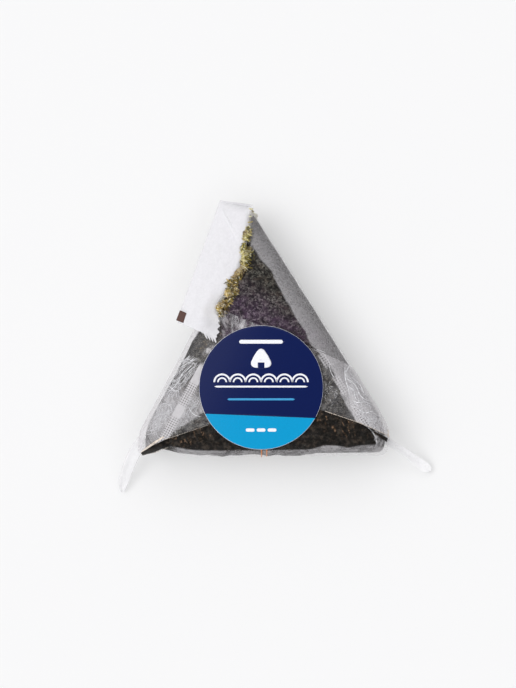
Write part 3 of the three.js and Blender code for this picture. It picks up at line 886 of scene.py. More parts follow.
def crease_material(name, colour):
    """Fine pale creases where the film has been folded hard, their whiteness partly the fold's own and partly
    painted highlight.
    """
    material, tree, shader = new_material(name)
    broken = mapped(tree, mottle(tree, 1.3, 0.35, 0.6), 0, 1, 0.3, 1.0)
    alpha = times(tree, attribute(tree, "tint"), broken)
    set_inputs(tree, shader, {"Alpha": alpha, "Base Color": colour, "Roughness": 0.4})
    return material


def print_material(name, colour, roughness=0.32, gloss=0.2):
    """Printed paper: an even ink with a faint mottle in its tone and sheen."""
    material, tree, shader = new_material(name)
    uneven = mottle(tree, 0.5)
    low = tuple(part * 0.9 for part in colour)
    high = tuple(min(1, part * 1.08) for part in colour)
    inputs = {"Base Color": mixed(tree, uneven, low, high), "Specular IOR Level": gloss}
    inputs["Roughness"] = mapped(tree, uneven, 0, 1, roughness * 0.92, roughness * 1.08)
    set_inputs(tree, shader, {**inputs, "Normal": bump(tree, uneven, 0.003, 0.3)})
    return material


def floor_material(colour, glow):
    """A bright sweep: part of its light is its own, which keeps the shadows on it pale."""
    material, tree, shader = new_material("floor")
    inputs = {"Base Color": colour, "Emission Color": (1, 1, 1), "Emission Strength": glow}
    set_inputs(tree, shader, {**inputs, "Roughness": 0.7, "Specular IOR Level": 0.1})
    return material


# Rice and nori

def torn_distance(x, y):
    """Distance in plan across from the nori's torn edge: positive on the nori's side."""
    edge = np.asarray(TORN_EDGE, float)
    return x - np.interp(-y, -edge[:, 1], edge[:, 0])


def window_share(x, y, z):
    """How far a point lies in the strip without nori: 0 on the nori, 1 in the opening. The
    edge is frayed by two sizes of noise."""
    wave = noise_on(x, y, z)
    beyond = -(torn_distance(x, y) + 0.7 * wave(1.6, 11) + 0.5 * wave(0.7, 12))
    above_sill = smooth_step(z, WINDOW_SILL - 0.4, WINDOW_SILL + 0.4)
    return smooth_step(beyond, -0.15, 0.15) * smooth_step(y, 51.6, 52.2) * above_sill


def build_rice():
    """The pressed rice: the pack's form with soft lumps, under the whole grains."""
    grid = pack_surface(*RICE_GRID, RICE_LAYER - RICE_SINK, 1.0, RICE_ROUNDNESS)
    wave = noise_on(*np.moveaxis(grid, -1, 0))
    return closed_polar("pressed_rice", pushed_out(grid, 0.35 * wave(2.6, 21) + 0.2 * wave(1.3, 22)))


def grain_shape():
    """A rice grain one unit long: an ellipse of revolution with blunt ends, as points and
    faces, closed by its two poles."""
    turn = np.linspace(0, np.pi, GRAIN_RINGS + 2)[1:-1]
    girth = np.sin(turn) ** 0.8 * 0.5
    angle = np.linspace(0, 2 * np.pi, GRAIN_SIDES, endpoint=False)[:, None]
    run = np.repeat(-np.cos(turn)[None] / 2, GRAIN_SIDES, 0)
    ring = np.stack([run, np.cos(angle) * girth, np.sin(angle) * girth], -1).reshape(-1, 3)
    points = np.concatenate([ring, [[-0.5, 0, 0], [0.5, 0, 0]]])
    return points, polar_faces(GRAIN_SIDES, GRAIN_RINGS)


def build_grains(look):
    """Whole grains over the strip that has no nori, each laid flat on the core with its own
    heading. Grid places with a seeded shake keep them evenly packed."""
    rng = np.random.default_rng(31)
    share, drop = np.meshgrid(*(np.linspace(0, 1, places) for places in GRAIN_PLACES))
    share = share.ravel() + rng.uniform(-0.02, 0.02, share.size)
    drop = drop.ravel() + rng.uniform(-0.04, 0.04, drop.size)
    start_x, start_y = along_line(TORN_EDGE[1:], share).T
    travel = drop * np.maximum(side_distance(start_x, start_y, LEFT) - 1.5, 0.5)
    x = start_x + np.cos(np.radians(FRINGE_HEADING)) * travel
    y = start_y + np.sin(np.radians(FRINGE_HEADING)) * travel
    keep = depth_at(x, y)[0] > GRAIN_MARGIN
    x, y = x[keep], y[keep]
    z = face_height(x, y, RICE_LAYER, 1.0, RICE_ROUNDNESS) - GRAIN_SINK
    points, faces = grain_shape()
    heading = rng.uniform(0, np.pi, x.size)
    length = look.length / MM * rng.uniform(0.85, 1.1, x.size)
    girth = look.girth / MM * rng.uniform(0.85, 1.1, x.size)
    long, wide, high = (points[None] * np.stack([length, girth, girth * 0.8], -1)[:, None]).transpose(2, 0, 1)
    cos, sin = np.cos(heading)[:, None], np.sin(heading)[:, None]
    turned = np.stack([long * cos - wide * sin, long * sin + wide * cos, high], -1)
    grains = turned + np.stack([x, y, z], -1)[:, None]
    joined = [[corner + len(points) * grain for corner in face] for grain in range(x.size) for face in faces]
    return new_object("rice_grains", grains.reshape(-1, 3), joined)


def build_nori(look):
    """The nori sheet round the rice: the pack's form drawn in a little from the film, with
    fine relief, sunk out of sight where the sheet is torn away."""
    grid = pack_surface(*NORI_GRID, NORI_LAYER, 1.0, NORI_ROUNDNESS)
    x, y, z = np.moveaxis(grid, -1, 0)
    wave = noise_on(x, y, z)
    relief = look.relief / MM
    swell = relief * (0.8 * wave(5.0, 41) + 0.55 * wave(1.5, 42) + 0.4 * wave(0.7, 43))
    moved = pushed_out(grid, np.where(z < 2.0, 0.0, swell - relief - WINDOW_SINK * window_share(x, y, z)))
    pale = (0.08 + 0.34 * smooth_step(z, 20, 28)) * (0.75 + 0.4 * wave(6.0, 46))
    under_flap = smooth_step(x, 18, 22) * smooth_step(44 - y, 0, 4)
    hazed = smooth_step(line_distance(x, y, BAND_EDGE), -0.5, 0.5)
    pale = 1.05 * pale * (1 - 0.25 * under_flap) * (1 - 0.9 * hazed)
    purple = smooth_step(70 - 0.6 * x - y, 0, 16) * smooth_step(y, 38, 46) * smooth_step(z, 20, 27)
    purple = np.clip(purple * (0.75 + 0.5 * wave(4.0, 44)), 0, 1) * smooth_step(x, -18, -13)
    edge = torn_distance(x, y) + 1.6 * wave(2.4, 45)
    thin = 0.9 * np.clip(1 - edge / THIN_WIDTH, 0, 1) * smooth_step(y, 52, 56) * smooth_step(z, 12, 20)
    thin = thin * (1 - 0.95 * smooth_step(y, 80, 84))
    crumbs = patch(x, y, (-20, 45.0), (6.0, 4.5), 60) * np.clip(wave(1.2, 47) + 0.35, 0, 1)
    values = {"purple": purple, "thin": np.maximum(thin, 0.8 * crumbs), "pale": np.clip(pale, 0, 1)}
    return closed_polar("nori_sheet", moved, values)


def build_shreds():
    """Loose shreds along the torn edge: short bent strips that point outwards, gold and olive
    on the outside and dark brown towards the sheet. The wide random spread of their tints is partly their own
    mixed colours and partly painted self-shade, and about one shred in seven gets the lightest tint as a
    painted highlight."""
    rng = np.random.default_rng(51)
    edge = along_line(TORN_EDGE, rng.uniform(0.03, 0.96, SHRED_COUNT), True)
    width = np.interp(edge[:, 1], FRINGE_HEIGHTS, FRINGE_WIDTHS)
    share = rng.beta(1.1, 1.5, SHRED_COUNT)
    inland = width * share - np.interp(edge[:, 1], FRINGE_HEIGHTS, FRINGE_OUTSETS)
    x = edge[:, 0] + inland
    y = edge[:, 1] + rng.normal(0, 0.35, SHRED_COUNT)
    clump = noise_on(x, y)(1.3, 52) + 0.5 * noise_on(x, y)(0.7, 53)
    thinned = rng.uniform(0, 20, SHRED_COUNT) < width**2 * (1.25 - 0.6 * share)
    clumped = clump > 0.22 - 0.55 * share - 0.6 * rng.uniform(0, 1, SHRED_COUNT)
    keep = (depth_at(x, y)[0] > 0.4) & thinned & clumped
    x, y, inland, share = x[keep], y[keep], inland[keep], share[keep]
    number = len(x)
    heading = np.radians(FRINGE_HEADING + 55 * rng.normal(0, 1, number))[:, None]
    length = (rng.gamma(3.0, 0.32, number) + 0.3)[:, None]
    step = np.linspace(-0.5, 0.5, 4)
    bend = rng.normal(0, 0.6, number)[:, None] * step**2
    run_x = x[:, None] + length * (np.cos(heading) * step - np.sin(heading) * bend)
    run_y = y[:, None] + length * (np.sin(heading) * step + np.cos(heading) * bend)
    over = smooth_step(2.0 - inland, 0, 1.6)[:, None]
    ground = face_height(run_x, run_y, NORI_LAYER, 1.0, NORI_ROUNDNESS) * (1 - over)
    ground = ground + (face_height(run_x, run_y, TAB_LAYER) + TAB_LIFT + 0.35) * over
    lift = rng.uniform(-0.1, 0.8, number)[:, None] + rng.uniform(-0.5, 0.5, number)[:, None] * step
    paths = np.stack([run_x, run_y, ground + lift], -1)
    widths = rng.uniform(0.12, 0.46, number)[:, None] * np.array([0.5, 1, 1, 0.4])
    # Painted shade and highlight: the random spread of tints is partly the shreds' own colours and partly
    # painted self-shade; about one shred in seven is set to the lightest tint as a painted highlight
    tint = 0.80 - 0.5 * share + 0.34 * rng.normal(0, 1, number) - 0.12 * smooth_step(62 - y, 0, 4)
    tint = np.minimum(tint + 0.3 * noise_on(x, y)(2.1, 54) - 0.25 * smooth_step(y, 90, 94), 0.9)
    tint = np.where(rng.uniform(0, 1, number) < 0.15, 1.0, tint)
    return ribbons("nori_shreds", paths, widths, SHRED, np.clip(tint, 0, 1)[:, None])


# Film

def lobes(x, low):
    """Round lobes along the right of the base, from a low share up to 1."""
    swing = np.abs(np.sin((x - LOBE_START) / LOBE_PITCH))
    return smooth_step(x, LOBES_FROM, LOBES_FULL) * (low + (1 - low) * swing)


def build_skin():
    """The clear film over the whole pack, with its haze per point: it hazes where it stands
    off the nori, along the right shoulder and down the base side."""
    grid = pack_surface(*SKIN_GRID, SKIN_LAYER)
    x, y, z = np.moveaxis(grid, -1, 0)
    wave, flat_wave = noise_on(x, y, z), noise_on(x, y)
    waves = 0.06 * wave(3.2, 61) + 0.04 * wave(1.4, 62)
    moved = pushed_out(grid, waves * smooth_step(z, 0.8, 2.5))
    moved[..., 2] = np.maximum(moved[..., 2], SKIN_FLOOR)
    left, base, right = (side_distance(x, y, side) for side in (LEFT, BASE, RIGHT))
    inside_band = line_distance(x, y, BAND_EDGE) + 0.35 * flat_wave(2.4, 63) + 0.2 * flat_wave(0.9, 64)
    band = smooth_step(inside_band, -0.25, 0.35) * smooth_step(y, 12, 20)
    mottled = 0.275 + 0.02 * wave(3.0, 66) - 0.05 * smooth_step(y, 84, 92)
    mottled = mottled + 0.03 * smooth_step(right, 2.5, 5.5) + 0.1 * bell(right - 0.5, 0.35)
    base_band = smooth_step(2.9 + 1.5 * lobes(x, 0.35) - base, -0.25, 0.4) * smooth_step(x, -36, -30)
    base_band = base_band * smooth_step(z + 1.5 * wave(4.0, 97), 15, 23)
    strip = 0.27 + 0.06 * smooth_step(x, 10, 20) + 0.16 * smooth_step(-14 - x, 0, 8)
    strip = strip + 0.16 * noise(x, 0.4 * y, z, 1.6, 65)
    left_band = smooth_step(2.5 - left, 0, 2.0) * 0.3
    corner = smooth_step(x, 43.0, 44.6) * smooth_step(14 - y, 0, 3)
    wrinkled = 0.24 + 0.34 * noise(x + y, x - y, z, 1.4, 68) + 0.2 * wave(0.7, 69)
    side_wall = smooth_step(22 - z, 0, 8) * 0.05 * (1 + noise(x, y, 0.3 * z, 1.6, 70))
    haze = np.maximum.reduce([band * mottled, base_band * strip, left_band, corner * wrinkled, side_wall])
    haze = np.clip(haze, 0, 0.9) * wall_fade(x, y, z) * (1 - 0.8 * smooth_step(-45.6 - x, 0, 1.2))
    return closed_polar("film_skin", moved, {"haze": haze})


def flap_surface(lower, upper, seam):
    """A folded flap as a grid of two parameters: across from its lower to its upper line, and
    out from its hidden seam over the pack's edge and down to its hem. In plan it is a Coons
    patch of the two lines and the seam, cut where it meets the outline."""
    across = np.linspace(0, 1, FLAP_ROWS)[:, None]
    fine = np.linspace(0, 1, FLAP_TRACK)
    row = across[:, None]
    ruled = (1 - row) * along_line(lower, fine, True) + row * along_line(upper, fine, True)
    straight = (1 - across) * np.array(lower[0], float) + across * np.array(upper[0], float)
    bowed = along_line(seam, across[:, 0], True) - straight
    track = ruled + (1 - fine)[None, :, None] ** 2 * bowed[:, None]
    depth = depth_at(track[..., 0], track[..., 1])[0] + FLAP_LAYER
    last = FLAP_TRACK - 1 - np.argmax(depth[:, ::-1] > 0, axis=1)
    rows = np.arange(FLAP_ROWS)
    before = depth[rows, last]
    after = depth[rows, np.minimum(last + 1, FLAP_TRACK - 1)]
    crossing = ((last + before / np.maximum(before - after, 1e-9)) / (FLAP_TRACK - 1))[:, None]
    ease = 1 - (1 - np.linspace(0, 1, FLAP_COLUMNS)) ** FLAP_CROWDING
    back = np.linspace(0, 1, FLAP_SIDE_COLUMNS + 1)[1:]
    out = np.concatenate([ease * crossing, crossing - HEM_BACK * back**HEM_CROWDING], 1)
    lines = track.transpose(2, 0, 1)
    x, y = (np.array([np.interp(at, fine, row) for at, row in zip(out, rows)]) for rows in lines)
    z = face_height(x, y, FLAP_LAYER)
    z[:, FLAP_COLUMNS:] = np.maximum(underside_height(x, y, FLAP_LAYER)[:, FLAP_COLUMNS:], FLAP_HEM)
    z[:, FLAP_COLUMNS - 1] = EDGE_HEIGHT
    return np.stack([x, y, z], -1)


def band_axes(x, y, seal):
    """Distances along and across a seal band in millimetres, and how strong its dots are in
    each section along it."""
    start, end = np.array(seal["line"], float)
    length = np.linalg.norm(end - start)
    run = (end - start) / length
    along = (x - start[0]) * run[0] + (y - start[1]) * run[1]
    across = (x - start[0]) * -run[1] + (y - start[1]) * run[0]
    return np.stack([along, across, np.interp(along / length, *zip(*seal["sections"]))], -1)


def build_left_flap():
    """The left flap's film: clear over the nori above, then clouded white by its creases, and
    white towards the pack's edge. A whiter patch of haze beside the label's upper left is a painted glint."""
    grid = flap_surface(LEFT_FLAP_LOWER, LEFT_FLAP_UPPER, FLAP_SEAM[:4])
    x, y, z = np.moveaxis(grid, -1, 0)
    wave = noise_on(x, y, z)
    z += 0.05 * wave(1.8, 71) * smooth_step(z, 24, 28)
    streak = streaks(x, y, 0.6, (0.8, 3.5), 75)
    rough = wave(1.5, 74) + 0.6 * wave(0.6, 70)
    folded = smooth_step(38.0 - y, 0, 1.2)
    lower = smooth_step(31 - y, 0, 12)
    cover = 0.09 + 0.03 * rough + folded * (0.02 + 0.4 * lower)
    cover = cover + folded * (0.06 + 0.07 * lower) * (streak + 0.35 * rough)
    cover = cover - 0.2 * smooth_step(12 - y, 0, 5)
    cover = cover - 0.12 * smooth_step(line_distance(x, y, LEFT_SEAL["line"]), 2.0, 3.0) * lower
    above = -line_distance(x, y, LEFT_FLAP_LOWER)
    wedge = smooth_step(5.7 + 0.28 * (x + 21) + 0.3 * wave(1.2, 76) - above, 0, 0.7)
    wedge = wedge * smooth_step(x, -38, -33)
    cover = np.clip(cover - 0.5 * wedge, 0.07 + 0.04 * rough, 1)
    edge = side_distance(x, y, LEFT) + 0.5 * wave(3.0, 73) + 0.25 * rough
    soft = smooth_step(2.8 - edge, 0, 2.5) * folded
    arc = smooth_step(-line_distance(x, y, NORI_ARC) + 0.15 * rough, -0.15, 0.3) * (1 - folded)
    margin = np.maximum(soft, arc)
    cover = cover * (1 - margin) + (0.8 - 0.1 * arc + 0.04 * streak) * margin
    # Painted highlight: a whiter patch of haze beside the label's upper left stands in for a glint on the
    # crumpled film
    painted_glint = patch(x, y, (-20.0, 41.2), (2.6, 1.0), 35) * (0.5 + 0.5 * wave(0.9, 77))
    cover = (cover + 0.6 * np.clip(painted_glint, 0, 1)) * (1 - 0.75 * smooth_step(-45.4 - x, 0, 1.4))
    end = smooth_step(-43.4 + 0.33 * (y - 9.5) - x, 0, 1.5)
    end = end * smooth_step(y, 1.5, 4) * smooth_step(17 - y, 0, 4)
    cover = np.maximum(cover, 0.82 * end) * wall_fade(x, y, z)
    seal = smooth_step(36.6 - y, 0, 2) * (0.92 + 0.08 * wave(1.0, 78))
    values = {"haze": one_wall(cover), "band": band_axes(x, y, LEFT_SEAL), "seal": seal}
    return open_sheet("left_flap_film", grid, FILM, values)


def build_right_flap():
    """The right flap's film: clear beside the label, with a smooth white strip along its seal,
    clouded beyond it, and pleated where it runs under the label's upper edge. Along the fold at its upper
    edge the haze is cleared as painted shade."""
    grid = flap_surface(RIGHT_FLAP_LOWER, RIGHT_FLAP_UPPER, FLAP_SEAM)
    x, y, z = np.moveaxis(grid, -1, 0)
    wave = noise_on(x, y, z)
    z += 0.05 * wave(1.8, 72) * smooth_step(z, 24, 28)
    axes = band_axes(x, y, RIGHT_SEAL)
    rough = wave(1.1, 85) + 0.6 * wave(0.5, 86)
    pleat = streaks(x, y, 0.5, (0.9, 5.0), 87)
    beside = np.clip(0.075 + 0.05 * rough, 0.01, 1)
    near_edge = smooth_step(3.5 - side_distance(x, y, RIGHT), 0, 3)
    beyond = 0.60 + 0.08 * pleat + 0.05 * rough + 0.12 * near_edge
    wobble = 0.25 * wave(1.6, 95)
    outside = smooth_step(line_distance(x, y, STRIP_LEFT) + wobble, -0.3, 0.3)
    strip = outside * smooth_step(wobble - line_distance(x, y, STRIP_RIGHT), -0.3, 0.3)
    cover = beside * (1 - outside) + beyond * outside
    cover = cover * (1 - strip) + (0.32 + 0.03 * pleat) * strip
    cover = cover - 0.05 * smooth_step(x, 38, 44) * smooth_step(20 - y, 0, 6) * (1 - 1.6 * rough)
    # Painted shade: the haze is cleared along the fold line at the flap's upper edge, so the dark nori shows
    # as a shadow line
    fold = bell(line_distance(x, y, FOLD_SHADE_LINE), 0.3)
    cover = cover - 0.28 * fold - 0.3 * patch(x, y, (31.9, 22.6), (0.7, 1.5), 20)
    crinkled = smooth_step(4 - x, 0, 4) * smooth_step(y, 43.5, 45.5)
    pleats = streaks(x, y, 0.25, (0.55, 3.2), 88)
    cover = cover * (1 - crinkled) + crinkled * np.clip(0.15 + 0.22 * pleats + 0.1 * rough, 0.03, 0.8)
    ridge = patch(x, y, (-9, 55.2), (1.6, 0.7), 60) + patch(x, y, (-7.2, 51.0), (0.8, 2.0), -20)
    cover = np.clip(cover + 0.45 * ridge * crinkled, 0.03, 0.9) * wall_fade(x, y, z)
    seal = smooth_step(x, 20, 22) * axes[..., 2] * (0.44 + 0.1 * wave(1.0, 89))
    values = {"haze": one_wall(cover), "band": axes, "seal": np.clip(seal, 0, 1)}
    return open_sheet("right_flap_film", grid, FILM, values, flip=True)


def base_ridge(x):
    """Height in plan of the line where the side flaps' lower edges cross the base flap."""
    corners = np.array([*LEFT_FLAP_LOWER[::-1], *RIGHT_FLAP_LOWER[1:]], float)
    return np.interp(x, corners[:, 0], corners[:, 1])


def base_flap_end(share):
    """The base flap's right end, a curve in plan x from its upper corner down to its foot."""
    return BASE_FLAP_RIGHT + BASE_FLAP_BULGE * np.sin(share * np.pi * 0.62) ** 0.8


def base_foot(x):
    """Height in plan of the base flap's lower edge, scalloped towards the right."""
    return -side_distance(x, 0 * x, BASE) + 1.15 + 0.4 * noise_on(x, 0 * x)(3.0, 81) + 2.0 * lobes(x, 0.3)


def build_base_flap():
    """The nori folded up from the base: a sheet ruled from its two upper lines down over the
    base shoulder, with a scalloped foot and a curved right end."""
    share = np.linspace(0, 1, BASE_FLAP_GRID[0])[:, None]
    across = np.linspace(0, 1, BASE_FLAP_GRID[1])[None]
    x = BASE_FLAP_LEFT + across * (base_flap_end(share) - BASE_FLAP_LEFT)
    y = (base_ridge(x) + 0.5) * (1 - share) + base_foot(x) * share
    z = face_height(x, y, BASE_FLAP_LAYER, BASE_FLAP_SLACK)
    wave = noise_on(x, y, z)
    z += 0.06 * wave(1.3, 82) + 0.04 * wave(0.6, 83)
    thin = np.clip(1.2 * wave(2.4, 84) - 0.5, 0, 0.5)
    browned = 1.3 * patch(x, y, (30, 12.5), (9.5, 3.6), -18) + 0.8 * patch(x, y, (-26, 8), (9, 2.4), 18)
    strokes = streaks(x, y, 0.4, (0.6, 2.6), 90)
    thin = np.clip(thin * 0.2 + browned * np.clip(1.7 * strokes - 0.2, 0, 1), 0, 0.95)
    values = {"purple": 0 * x, "thin": thin, "pale": 0.03 + 0.03 * wave(2.0, 94)}
    return open_sheet("base_flap_nori", np.stack([x, y, z], -1), NORI_SHEET, values, flip=True)


def edge_strip(name, line, widths, tints):
    """A narrow folded film edge along a plan line: a strip that follows the face, its width and
    brightness given at even steps along it."""
    share = np.linspace(0, 1, EDGE_STEPS)
    steps = np.linspace(0, 1, len(widths))
    path = on_face(*along_line(line, share, True).T, CREASE_LAYER)
    width = np.interp(share, steps, widths) * (1 + 0.3 * noise_on(share * 60, 0 * share)(1.0, 93))
    return ribbons(name, path[None], width[None], FOLD, np.interp(share, steps, tints)[None])


def creases(name, zones, lines, seed):
    """Curved white creases on the face, whitened partly by the fold and partly as painted highlight. Zone by
    zone: arcs with a seeded place inside a turned oval, a heading, a length and a curl. Then single long
    ones, each a smooth line."""
    rng = np.random.default_rng(seed)
    step = np.linspace(-0.5, 0.5, CREASE_STEPS)
    paths, widths, tints = [], [], []
    for centre, size, turn, number, heading, spread, length, curl, width, tint in zones:
        away = np.sqrt(rng.uniform(0, 1, number))
        around = rng.uniform(0, 2 * np.pi, number)
        u = size[0] * away * np.cos(around)
        v = size[1] * away * np.sin(around)
        cos, sin = np.cos(np.radians(turn)), np.sin(np.radians(turn))
        run = length * rng.uniform(0.6, 1.4, number)[:, None]
        angle = np.radians(heading + spread * rng.normal(0, 1, number))[:, None]
        angle = angle + curl * rng.normal(0, 1, number)[:, None] * step
        angle = angle + 0.5 * curl * rng.normal(0, 1, number)[:, None] * np.sin(6 * step)
        dx, dy = (np.cumsum(part, 1) * run / CREASE_STEPS for part in (np.cos(angle), np.sin(angle)))
        x = (centre[0] + u * cos - v * sin)[:, None] + dx - dx[:, 9:10]
        y = (centre[1] + u * sin + v * cos)[:, None] + dy - dy[:, 9:10]
        paths.append(on_face(x, y, CREASE_LAYER))
        taper = np.clip(1.1 - (2 * np.abs(step)) ** 2, 0.12, 1)
        widths.append(width * rng.uniform(0.6, 1.4, number)[:, None] * taper)
        tints.append(tint * rng.uniform(0.5, 1.0, number))
    for corners, width, tint in lines:
        paths.append(on_face(*smooth_line(corners, CREASE_STEPS).T, CREASE_LAYER + 0.02)[None])
        widths.append(width * np.clip(1.2 - (2 * np.abs(step)) ** 4, 0.2, 1)[None])
        tints.append([tint])
    paths, widths, tints = (np.concatenate(part) for part in (paths, widths, tints))
    inside = depth_at(paths[..., 0], paths[..., 1])[0].min(1) > CREASE_MARGIN
    return ribbons(name, paths[inside], widths[inside], INK, tints[inside][:, None])


def ruled_strip(name, first, second, layer):
    """A thin piece on the face between two plan lines: straight rungs from one to the other."""
    share = np.linspace(0, 1, STRIP_GRID[0])
    across = np.linspace(0, 1, STRIP_GRID[1])[None, :, None]
    plan = along_line(first, share, True)[:, None] * (1 - across)
    plan = plan + along_line(second, share, True)[:, None] * across
    grid = on_face(plan[..., 0], plan[..., 1], layer)
    return open_sheet(name, grid, FOLD, {"tint": np.full(grid.shape[:2], 1.0)}, flip=True)


# The tab and the film ends

def taut(heights, outer):
    """Heights of taut film over held points along the last axis: the lowest line above them
    that never sags, found over every pair of points."""
    held = heights.copy()
    held[:, -1] = outer
    held[:, 0] = np.maximum(held[:, 0], TAB_TIP_HEIGHT)
    result = held.copy()
    for a in range(TAB_HELD):
        for b in range(a + 1, TAB_HELD):
            share = (np.arange(a, b + 1) - a) / (b - a)
            line = held[:, a, None] * (1 - share) + held[:, b, None] * share
            result[:, a : b + 1] = np.maximum(result[:, a : b + 1], line)
    return result


def saw(run, pitch):
    """A saw's wave along a run: 0 at the middle of each pitch, 1 at its ends."""
    return np.abs((run / pitch) % 1 - 0.5) * 2


def build_tab():
    """The tab as a grid of two parameters, down its length and across it from its edge on the
    face to its free edge, with saw teeth at its lower end and low on its inner edge."""
    down = np.linspace(0, 1, TAB_ROWS)
    share = np.linspace(0, 1, TAB_COLUMNS)[None]
    inner = along_line(TAB_INNER, down)
    plan = inner[:, None] * (1 - share[..., None]) + along_line(TAB_OUTER, down)[:, None] * share[..., None]
    coarse = np.linspace(0, TAB_COLUMNS - 1, TAB_HELD).round().astype(int)
    x, y = plan[:, coarse, 0], plan[:, coarse, 1]
    ground = np.where(depth_at(x, y)[0] > 0, face_height(x, y, TAB_LAYER) + TAB_LIFT, 0.0)
    heights = taut(ground, along_line(np.array(TAB_OUTER_HEIGHT)[:, None], down)[:, 0])
    z = np.array([np.interp(np.arange(TAB_COLUMNS), coarse, row) for row in heights])
    for _ in range(3):
        z[:, 1:-1] = (z[:, :-2] + z[:, 1:-1] + z[:, 2:]) / 3
    lower_run = np.linalg.norm(plan[-1] - plan[-1, 0], axis=-1)
    tooth = TOOTH_DEPTH * smooth_step(saw(lower_run, TOOTH_PITCH), 0.25, 0.8)
    teeth = tooth * smooth_step(lower_run, 0.2, 1.0) * smooth_step(6.4 - lower_run, 0, 1)
    push = smooth_step(down, 0.93, 1.0)[:, None] * teeth
    side_zone = smooth_step(53.0 - inner[:, 1], 0, 0.6) * smooth_step(inner[:, 1], 45.6, 46.6)
    side_tooth = (saw(inner[:, 1], SIDE_TOOTH_PITCH) * side_zone * SIDE_TOOTH_DEPTH)[:, None]
    x = plan[..., 0] + push * TOOTH_HEADING[0] + (1 - share) ** 14 * side_tooth
    y = plan[..., 1] + push * TOOTH_HEADING[1]
    wave = noise_on(x, y)
    wrinkle = bell((x + 12.6) * 0.9 + (y - 91.5) * 0.42, 0.5) * bell(y - 91.5, 6)
    z = z + 0.25 * wave(7.0, 91) + 0.08 * wave(2.5, 92) + 0.5 * wrinkle
    free_part = smooth_step(share * np.ones_like(x), 0.35, 0.7)
    clear = bell(np.linalg.norm(plan - plan[:, :1], axis=-1), 1.3) * smooth_step(y, 53, 57)
    showing = patch(x, y, (-18.2, 55.0), (4.0, 7.5), -8)
    haze = 0.14 * (1 - free_part) + 0.2 * wrinkle - 0.6 * clear - 0.26 * showing
    return open_sheet("tab_film", np.stack([x, y, z], -1), FILM, {"haze": haze}, flip=True)


def build_square():
    """The dark square printed on the tab's lower outer corner, lying on the film."""
    corners = np.array(SQUARE)
    u, v = np.meshgrid(*[np.linspace(0, 1, SQUARE_STEPS)] * 2, indexing="ij")
    u, v = u[..., None], v[..., None]
    plan = (1 - u) * ((1 - v) * corners[0] + v * corners[3]) + u * ((1 - v) * corners[1] + v * corners[2])
    z = SQUARE_HEIGHT + SQUARE_SLOPE * (plan[..., 0] + 33)
    return open_sheet("tab_square_print", np.dstack([plan, z]), 0.04)


def build_tail(name, line, widths, seed):
    """A flattened tube of twisted film: each ring is a folded lens across the tail's line, and
    the ends close on their rings' middles."""
    middle = smooth_line(line, TAIL_ROWS)
    ahead = np.gradient(middle, axis=0)
    across = np.stack([ahead[:, 1], -ahead[:, 0], 0 * ahead[:, 0]], -1)
    across /= np.linalg.norm(across, axis=1, keepdims=True)
    run = np.linspace(0, 1, TAIL_ROWS)[:, None]
    end = np.sqrt(np.clip(1 - np.clip((run - 0.86) / 0.145, 0, 1) ** 2, 0, 1))
    half = np.interp(run, np.linspace(0, 1, 5), widths) / 2 * np.maximum(end, 0.02)
    angle = np.linspace(0, 2 * np.pi, TAIL_SIDES, endpoint=False)[None]
    side = np.cos(angle) + 0 * run
    lens = 0.35 * np.sin(angle) + 0.45 * (np.abs(side) - 0.45)
    height = (lens + 0.2 * noise_on(run * 9 + 0 * side, side * 1.5)(1.0, seed)) * np.maximum(end, 0.05)
    grid = middle[:, None] + across[:, None] * (half * side)[..., None]
    grid[..., 2] += height
    ends = grid.mean(1, keepdims=True).repeat(TAIL_SIDES, 1)
    return closed_polar(name + "_film", np.concatenate([ends[:1], grid, ends[-1:]]).transpose(1, 0, 2))


# The label and its print

def build_label_paper():
    """The round sticker: top face, rim and underside as one closed grid."""
    angle = np.linspace(0, 2 * np.pi, LABEL_GRID[0], endpoint=False)[:, None]
    run = np.linspace(0, 1, LABEL_GRID[1])[None] * LABEL_RADIUS
    x = LABEL_CENTRE[0] + np.cos(angle) * run
    y = LABEL_CENTRE[1] + np.sin(angle) * run
    low = on_face(x, y, LABEL_LAYER - LABEL_THICKNESS)[:, ::-1]
    return closed_polar("label_paper", np.concatenate([on_face(x, y, LABEL_LAYER), low], 1))


def build_label_field(name, upper):
    """One of the label's two printed fields: the disc's part above or below the slanted line,
    as columns that run from the line to the rim."""
    radius = LABEL_RADIUS - FIELD_MARGIN
    half = np.sqrt(radius**2 - SPLIT_HEIGHT**2) * 0.9985
    x = np.linspace(-half, half, FIELD_GRID[0])
    line = SPLIT_HEIGHT + SPLIT_TILT * x
    start, finish = np.arctan2(line[[0, -1]], x[[0, -1]])
    start = start % (2 * np.pi) if upper else start
    rim_angle = start + (finish - start) * np.linspace(0, 1, FIELD_GRID[0])
    rim = np.stack([radius * np.cos(rim_angle), radius * np.sin(rim_angle)], -1)
    run = np.linspace(0, 1, FIELD_GRID[1])[:, None, None]
    plan = np.stack([x, line], -1)[None] * (1 - run) + rim[None] * run
    grid = on_face(plan[..., 0] + LABEL_CENTRE[0], plan[..., 1] + LABEL_CENTRE[1], LABEL_LAYER + INK)
    return open_sheet(name, grid, INK, flip=not upper)


def bar(centre, width, height):
    """A flat bar with round ends, as plan grids: columns across, rows from edge to edge."""
    run = np.linspace(-1, 1, MARK_GRID[0])[:, None] * width / 2
    v = np.linspace(-1, 1, MARK_GRID[1])[None]
    beyond = np.clip((np.abs(run) - (width / 2 - height / 2)) / (height / 2), 0, 0.999)
    return centre[0] + run + 0 * v, centre[1] + v * (height / 2 * np.sqrt(1 - beyond**2))


def half_ring(centre, radius, width):
    """The upper half of a ring."""
    angle = np.radians(np.linspace(0, 180, RING_GRID[0]))[:, None]
    run = radius + np.linspace(-0.5, 0.5, RING_GRID[1])[None] * width
    return centre[0] + np.cos(angle) * run, centre[1] + np.sin(angle) * run


